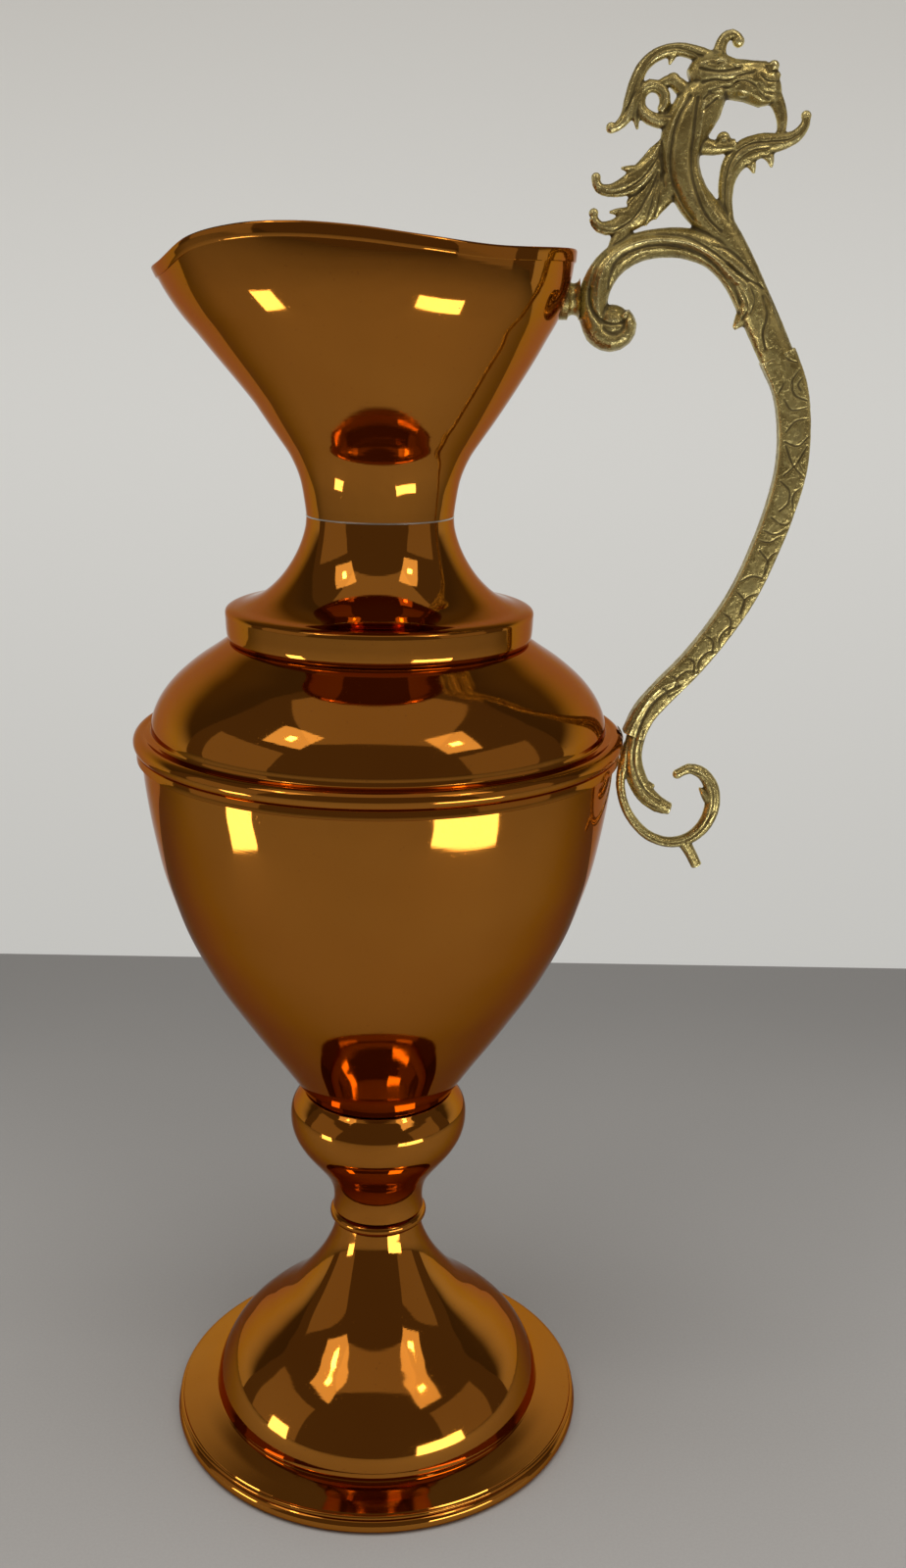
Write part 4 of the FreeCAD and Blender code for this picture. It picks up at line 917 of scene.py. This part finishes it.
LEAF = [
    (104.4, 315, 7.8, 6.6), (101.4, 307, 7.6, 6.6), (100.2, 298, 7.4, 6.4), (102, 289.6, 8, 6.2),
    (106, 282.6, 7.8, 5.8), (111.3, 278.2, 6.8, 5.4), (116.2, 276.4, 4.8, 4.8),
]
LOOP = [
    (98.6, 303, 4.4, 5), (96.6, 295, 3.8, 4.4), (95.9, 287, 3.6, 4.2), (97.6, 278.6, 3.6, 4.2),
    (101.8, 271, 3.8, 4.4), (108.2, 265, 4, 4.6), (116.2, 262.4, 4.2, 5), (123.8, 263.9, 4.8, 5),
    (129.8, 269.2, 5.6, 5), (132.8, 277, 6.2, 5), (132.3, 285.2, 6, 5), (128.4, 291.2, 5, 4.6),
    (122.8, 293.2, 4.2, 4.2), (118.4, 290.9, 3.4, 4),
]
LOOP_SPUR = [(121.6, 264, 5.4, 5), (125.4, 258, 4.6, 4.6), (128.2, 252.6, 4.4, 4.4)]
LOOP_BARB = [(131.4, 281, 5, 4.4), (129, 283.6, 3, 3.6), (127.4, 285.4, 0.8, 1.6)]
LEAF_TOOTH = [(104, 287, 5, 5), (107.6, 285.8, 3.4, 4), (109.6, 286, 1.2, 2)]

STRAP_LINES = [
    (0.45, 0.45, [(140.5, 467), (140, 463.5), (143, 460), (147, 459)]),
    (0.4, 0.4, [(141.5, 464), (144, 462), (146, 460)]),
    (0.45, 0.45, [(147.5, 458), (146.5, 454), (149.5, 450.6), (152.6, 449.6)]),
    (0.4, 0.4, [(149, 456), (149, 453.4), (151.4, 452)]),
    (0.45, 0.45, [(137.5, 464), (140.5, 460.5), (142, 456.5), (141, 452.5)]),
    (0.5, 0.45, [(154, 447), (151.6, 442.8), (152.8, 438), (157.5, 436)]),
    (0.4, 0.4, [(155.5, 444.4), (153.8, 441.6), (155, 439.6)]),
    (0.45, 0.45, [(143.5, 452), (147, 448), (148.6, 443), (147, 438.5)]),
    (0.35, 0.4, [(149, 436.4), (152, 432.6), (158, 433.5)]),
    (0.45, 0.45, [(150.8, 424.5), (154, 428.5), (159, 429.5)]),
    (0.5, 0.45, [(150.4, 421), (155.4, 419.5), (159.4, 423)]),
    (0.45, 0.45, [(150, 406.5), (153.5, 403), (153.5, 398.5), (150.5, 395.5)]),
    (0.45, 0.45, [(159.6, 405), (155.5, 402), (155.2, 397.5), (156.6, 394)]),
    (0.4, 0.4, [(147.5, 393), (152, 390.4), (156, 392.5)]),
    (0.45, 0.45, [(144, 380.5), (147.6, 375.5), (145.5, 370)]),
    (0.45, 0.45, [(152.6, 381), (148.6, 378.5), (146.5, 373.4), (147.5, 369)]),
    (0.5, 0.45, [(151, 419.5), (154.5, 412), (159.5, 407.5)]),
    (0.5, 0.45, [(159, 419.5), (155.5, 413), (151, 408.5)]),
    (0.4, 0.4, [(157.8, 417), (156.4, 413.4), (158, 410.4)]),
    (0.45, 0.45, [(145, 388), (149.4, 386.6), (154, 389)]),
    (0.4, 0.4, [(143, 384.5), (147.4, 383.6), (151.6, 386)]),
    (0.5, 0.45, [(137.4, 368.4), (141.8, 370.6), (146.6, 369.6)]),
    (0.45, 0.45, [(136, 365), (139.6, 361), (138, 356)]),
    (0.45, 0.45, [(144.6, 364), (140.4, 362.4), (138.6, 357.6), (139.6, 353)]),
    (0.45, 0.45, [(130.4, 357), (134.6, 354), (134.4, 348.6)]),
    (0.4, 0.4, [(138, 351), (134, 350.6), (131, 346.6), (131.4, 342)]),
    (0.45, 0.45, [(124.4, 348), (128.4, 345.4), (128.4, 340.6)]),
    (0.45, 0.45, [(131.4, 341), (127, 341), (123.4, 337), (123.4, 333.6)]),
    (0.45, 0.45, [(117.6, 339.4), (121.6, 337), (121.6, 332.6)]),
    (0.45, 0.45, [(124, 333), (119.4, 333.4), (115.6, 330.4), (115, 327)]),
    (0.4, 0.4, [(111.4, 332), (115, 330.4), (116.4, 326.4)]),
    (0.4, 0.4, [(107.6, 327), (111, 326), (112.6, 323)]),
    (-0.45, 0.5, [(118, 330), (111, 327.6), (106, 323), (102.2, 317), (99.4, 311), (97.4, 304.5), (97, 297),
        (97.8, 290), (100.4, 282.4), (105, 276.8), (110.5, 274.6), (115.5, 275.4)]),
    (0.6, 0.7, [(117, 327.6), (110.6, 324), (105.6, 318.6), (102.6, 312), (100.6, 304.5), (100.2, 297.5),
        (102, 290.5), (106, 284.2), (111.4, 280.2)]),
    (0.5, 0.55, [(103.4, 309), (102.8, 302), (103.2, 296), (105.2, 290.6), (108, 287)]),
    (0.4, 0.45, [(112.8, 323.4), (117.6, 326.4), (122.4, 330.4)]),
    (0.5, 0.5, [(98.6, 291), (101, 284.6), (105.4, 279.8), (110.4, 277.4)]),
    (0.55, 0.6, [(95.9, 292), (95.9, 285), (98.8, 276), (103.6, 269), (110, 264.4), (117, 262.6),
        (124, 264.4), (129.6, 269.6), (132.6, 277), (132.2, 285), (128.4, 290.6), (122.8, 292.6)]),
    (0.45, 0.5, [(131, 271.4), (134, 278.4), (133.2, 286.6), (128.6, 292.4)]),
    (0.45, 0.5, [(122.8, 263), (125.6, 258.4), (128, 253.4)]),
]

STRAP = drawn([LEAF, LOOP, LOOP_SPUR, LOOP_BARB, LEAF_TOOTH], [(118.3, 290.9, 2.0)], BAR)
cast_skin(STRAP, "handle_strap_and_foot", grain=0.345)
engrave(STRAP, STRAP_LINES, deep=0.70, wide=0.85)
sand_grain(STRAP, fine=0.010, coarse=0.028, seed=12)
note_relief(STRAP, rounds=18, full=0.26)

for casting in (DRAGON, STRAP):
    finished(casting, ["handle_casting"], brass, sharp=180)


# ---------------------------------------------------------------- finish of the hidden and small pieces
PLAIN = {"foot_rim_wire": copper, "tie_plate": copper, "tie_stud": steel, "foot_spreader": steel,
         "tie_washer": steel, "tie_nut": steel, "girdle_solder": solder, "collar_solder": dull_solder,
         "handle_solder": dull_solder, "handle_boss": brass, "handle_screw": steel, "seal_washer": rubber}
for name, material in PLAIN.items():
    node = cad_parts[name]
    for slot in node.material_slots:
        slot.material = material


# ---------------------------------------------------------------- studio
def stage_plane(name, size, place, turn, material):
    bpy.ops.object.select_all(action="DESELECT")
    bpy.ops.mesh.primitive_plane_add(size=1, location=(0, 0, 0))
    sheet = bpy.context.object
    sheet.name = name
    sheet.scale = (*size, 1)
    sheet.rotation_euler = turn
    sheet.location = place
    bpy.ops.object.transform_apply(location=True, rotation=True, scale=True)
    sheet.data.materials.append(material)


def floor_cloth():
    """Grey cloth, in a little less light towards the wall."""
    n = Nodes("floor_cloth")
    y = n.split(n.place())[1]
    weave = n.noise(n.place(), 900.0, 2.0, 0.6)
    folds = n.noise(n.place(), 3.0, 2.0, 0.5)
    tone = weave * 0.5 + folds * 0.5
    near = n.blend(tone, (0.300, 0.300, 0.300, 1), (0.385, 0.385, 0.385, 1))
    far = n.blend(tone, (0.180, 0.180, 0.180, 1), (0.230, 0.230, 0.230, 1))
    colour = n.blend(n.fade(y, 0.0, 0.5), near, far)
    return n.finish({"Base Color": colour, "Roughness": 0.85, "Normal": n.bump(weave, 0.12, 0.0004)})


def wall_paint_with_painted_glow():
    """Pale wall with painted light: its emission makes it glow though it is no lamp, and painted shade
    darkens both its colour and its glow upwards into the dark of the room above the lamps.
    """
    n = Nodes("wall_paint_with_painted_glow")
    z = n.split(n.place())[2]
    grain = n.noise(n.place(), 900.0, 2.0, 0.6)
    # Painted shade: the wall's colour darkens towards the top.
    paint_with_painted_top_shade = n.blend(n.fade(z, 0.75, 1.3), (0.30, 0.298, 0.290, 1), (0.04, 0.035, 0.03, 1))
    # Painted glow: emission colour, bright low down and fading towards the top.
    painted_glow = n.blend(n.fade(z, 0.3, 1.3), (0.99, 1.0, 0.97, 1), (0.13, 0.105, 0.07, 1))
    return n.finish({"Base Color": paint_with_painted_top_shade, "Roughness": 0.85, "Normal": n.bump(grain, 0.12, 0.0004),
                     "Emission Color": painted_glow, "Emission Strength": 0.43})


stage_plane("studio_floor", (6.0, 3.0), (0, -1.0, 0), (0, 0, 0), floor_cloth())
stage_plane("studio_wall", (8.0, 5.0), (0, 0.95, 1.2), (math.radians(90), 0, 0), wall_paint_with_painted_glow())


def soft_panel(name, size, place, aim, glow, colour, mirrored=True):
    """A soft light; glow is how bright its face is, and mirrored says whether the metal shows it."""
    data = bpy.data.lights.new(name, "AREA")
    data.shape = "RECTANGLE"
    data.size, data.size_y = size
    data.energy = glow * math.pi * size[0] * size[1]
    data.color = colour
    lamp = bpy.data.objects.new(name, data)
    bpy.context.scene.collection.objects.link(lamp)
    lamp.location = place
    lamp.rotation_euler = (Vector(aim) - Vector(place)).to_track_quat("-Z", "Y").to_euler()
    lamp.visible_glossy = mirrored
    return lamp


WHITE = (1.0, 0.98, 0.95)
WARM = (1.0, 0.90, 0.78)
soft_panel("fill_above", (2.0, 1.6), (0.0, -0.6, 2.2), (0, 0, 0), 3.0, WHITE, False)
soft_panel("fill_wall", (2.6, 0.8), (0, -0.1, 1.7), (0, 0.95, 0.2), 1.5, WHITE, False)
soft_panel("fill_front", (1.4, 0.8), (0.5, -1.8, 1.3), (0, 0, 0.3), 1.2, WHITE, False)
soft_panel("room_left", (1.6, 1.6), (-2.0, -0.7, 0.8), (0, 0, 0.3), 0.20, WARM)
soft_panel("room_right", (1.6, 1.6), (2.0, -0.9, 0.8), (0, 0, 0.3), 0.18, WARM)
soft_panel("ceiling", (1.8, 1.4), (0.0, -0.4, 2.0), (0, 0, 0), 0.24, WARM)
soft_panel("ceiling_lamp_left", (0.10, 0.12), (-0.85, -0.60, 1.5), (0, 0, 0.3), 14.0, WARM)
soft_panel("ceiling_glow_left", (0.55, 0.50), (-0.86, -0.61, 1.52), (0, 0, 0.3), 1.3, WARM)
soft_panel("ceiling_lamp_right", (0.14, 0.10), (0.85, -0.70, 1.5), (0, 0, 0.3), 14.0, WARM)
soft_panel("ceiling_glow_right", (0.50, 0.60), (0.86, -0.71, 1.52), (0, 0, 0.3), 1.3, WARM)
low_cards = [soft_panel("low_card_left", (0.14, 0.19), (-0.50, -0.26, 0.03), (0, 0, 0.28), 6.0, WHITE),
             soft_panel("low_card_right", (0.32, 0.18), (0.38, -0.42, 0.02), (0, 0, 0.28), 6.0, WHITE)]
for card in low_cards:
    card.visible_diffuse = False

world = bpy.data.worlds.new("room")
bpy.context.scene.world = world
world.use_nodes = True
sky = world.node_tree.nodes["Background"]
sky.inputs["Color"].default_value = (0.28, 0.22, 0.17, 1)
sky.inputs["Strength"].default_value = 0.40
bpy.context.scene.view_settings.view_transform = "Standard"

camera_data = bpy.data.cameras.new("camera")
camera_data.lens = 36.0
camera_data.sensor_width = 36.0
camera = bpy.data.objects.new("camera", camera_data)
bpy.context.scene.collection.objects.link(camera)
looking_down = 16.26
leaning = 0.95
tilt = Matrix.Rotation(math.radians(90 - looking_down), 4, "X")
tilt = tilt @ Matrix.Rotation(math.radians(leaning), 4, "Z")
camera.matrix_world = Matrix.Translation((0.0293, -0.600, 0.4602)) @ tilt
bpy.context.scene.camera = camera
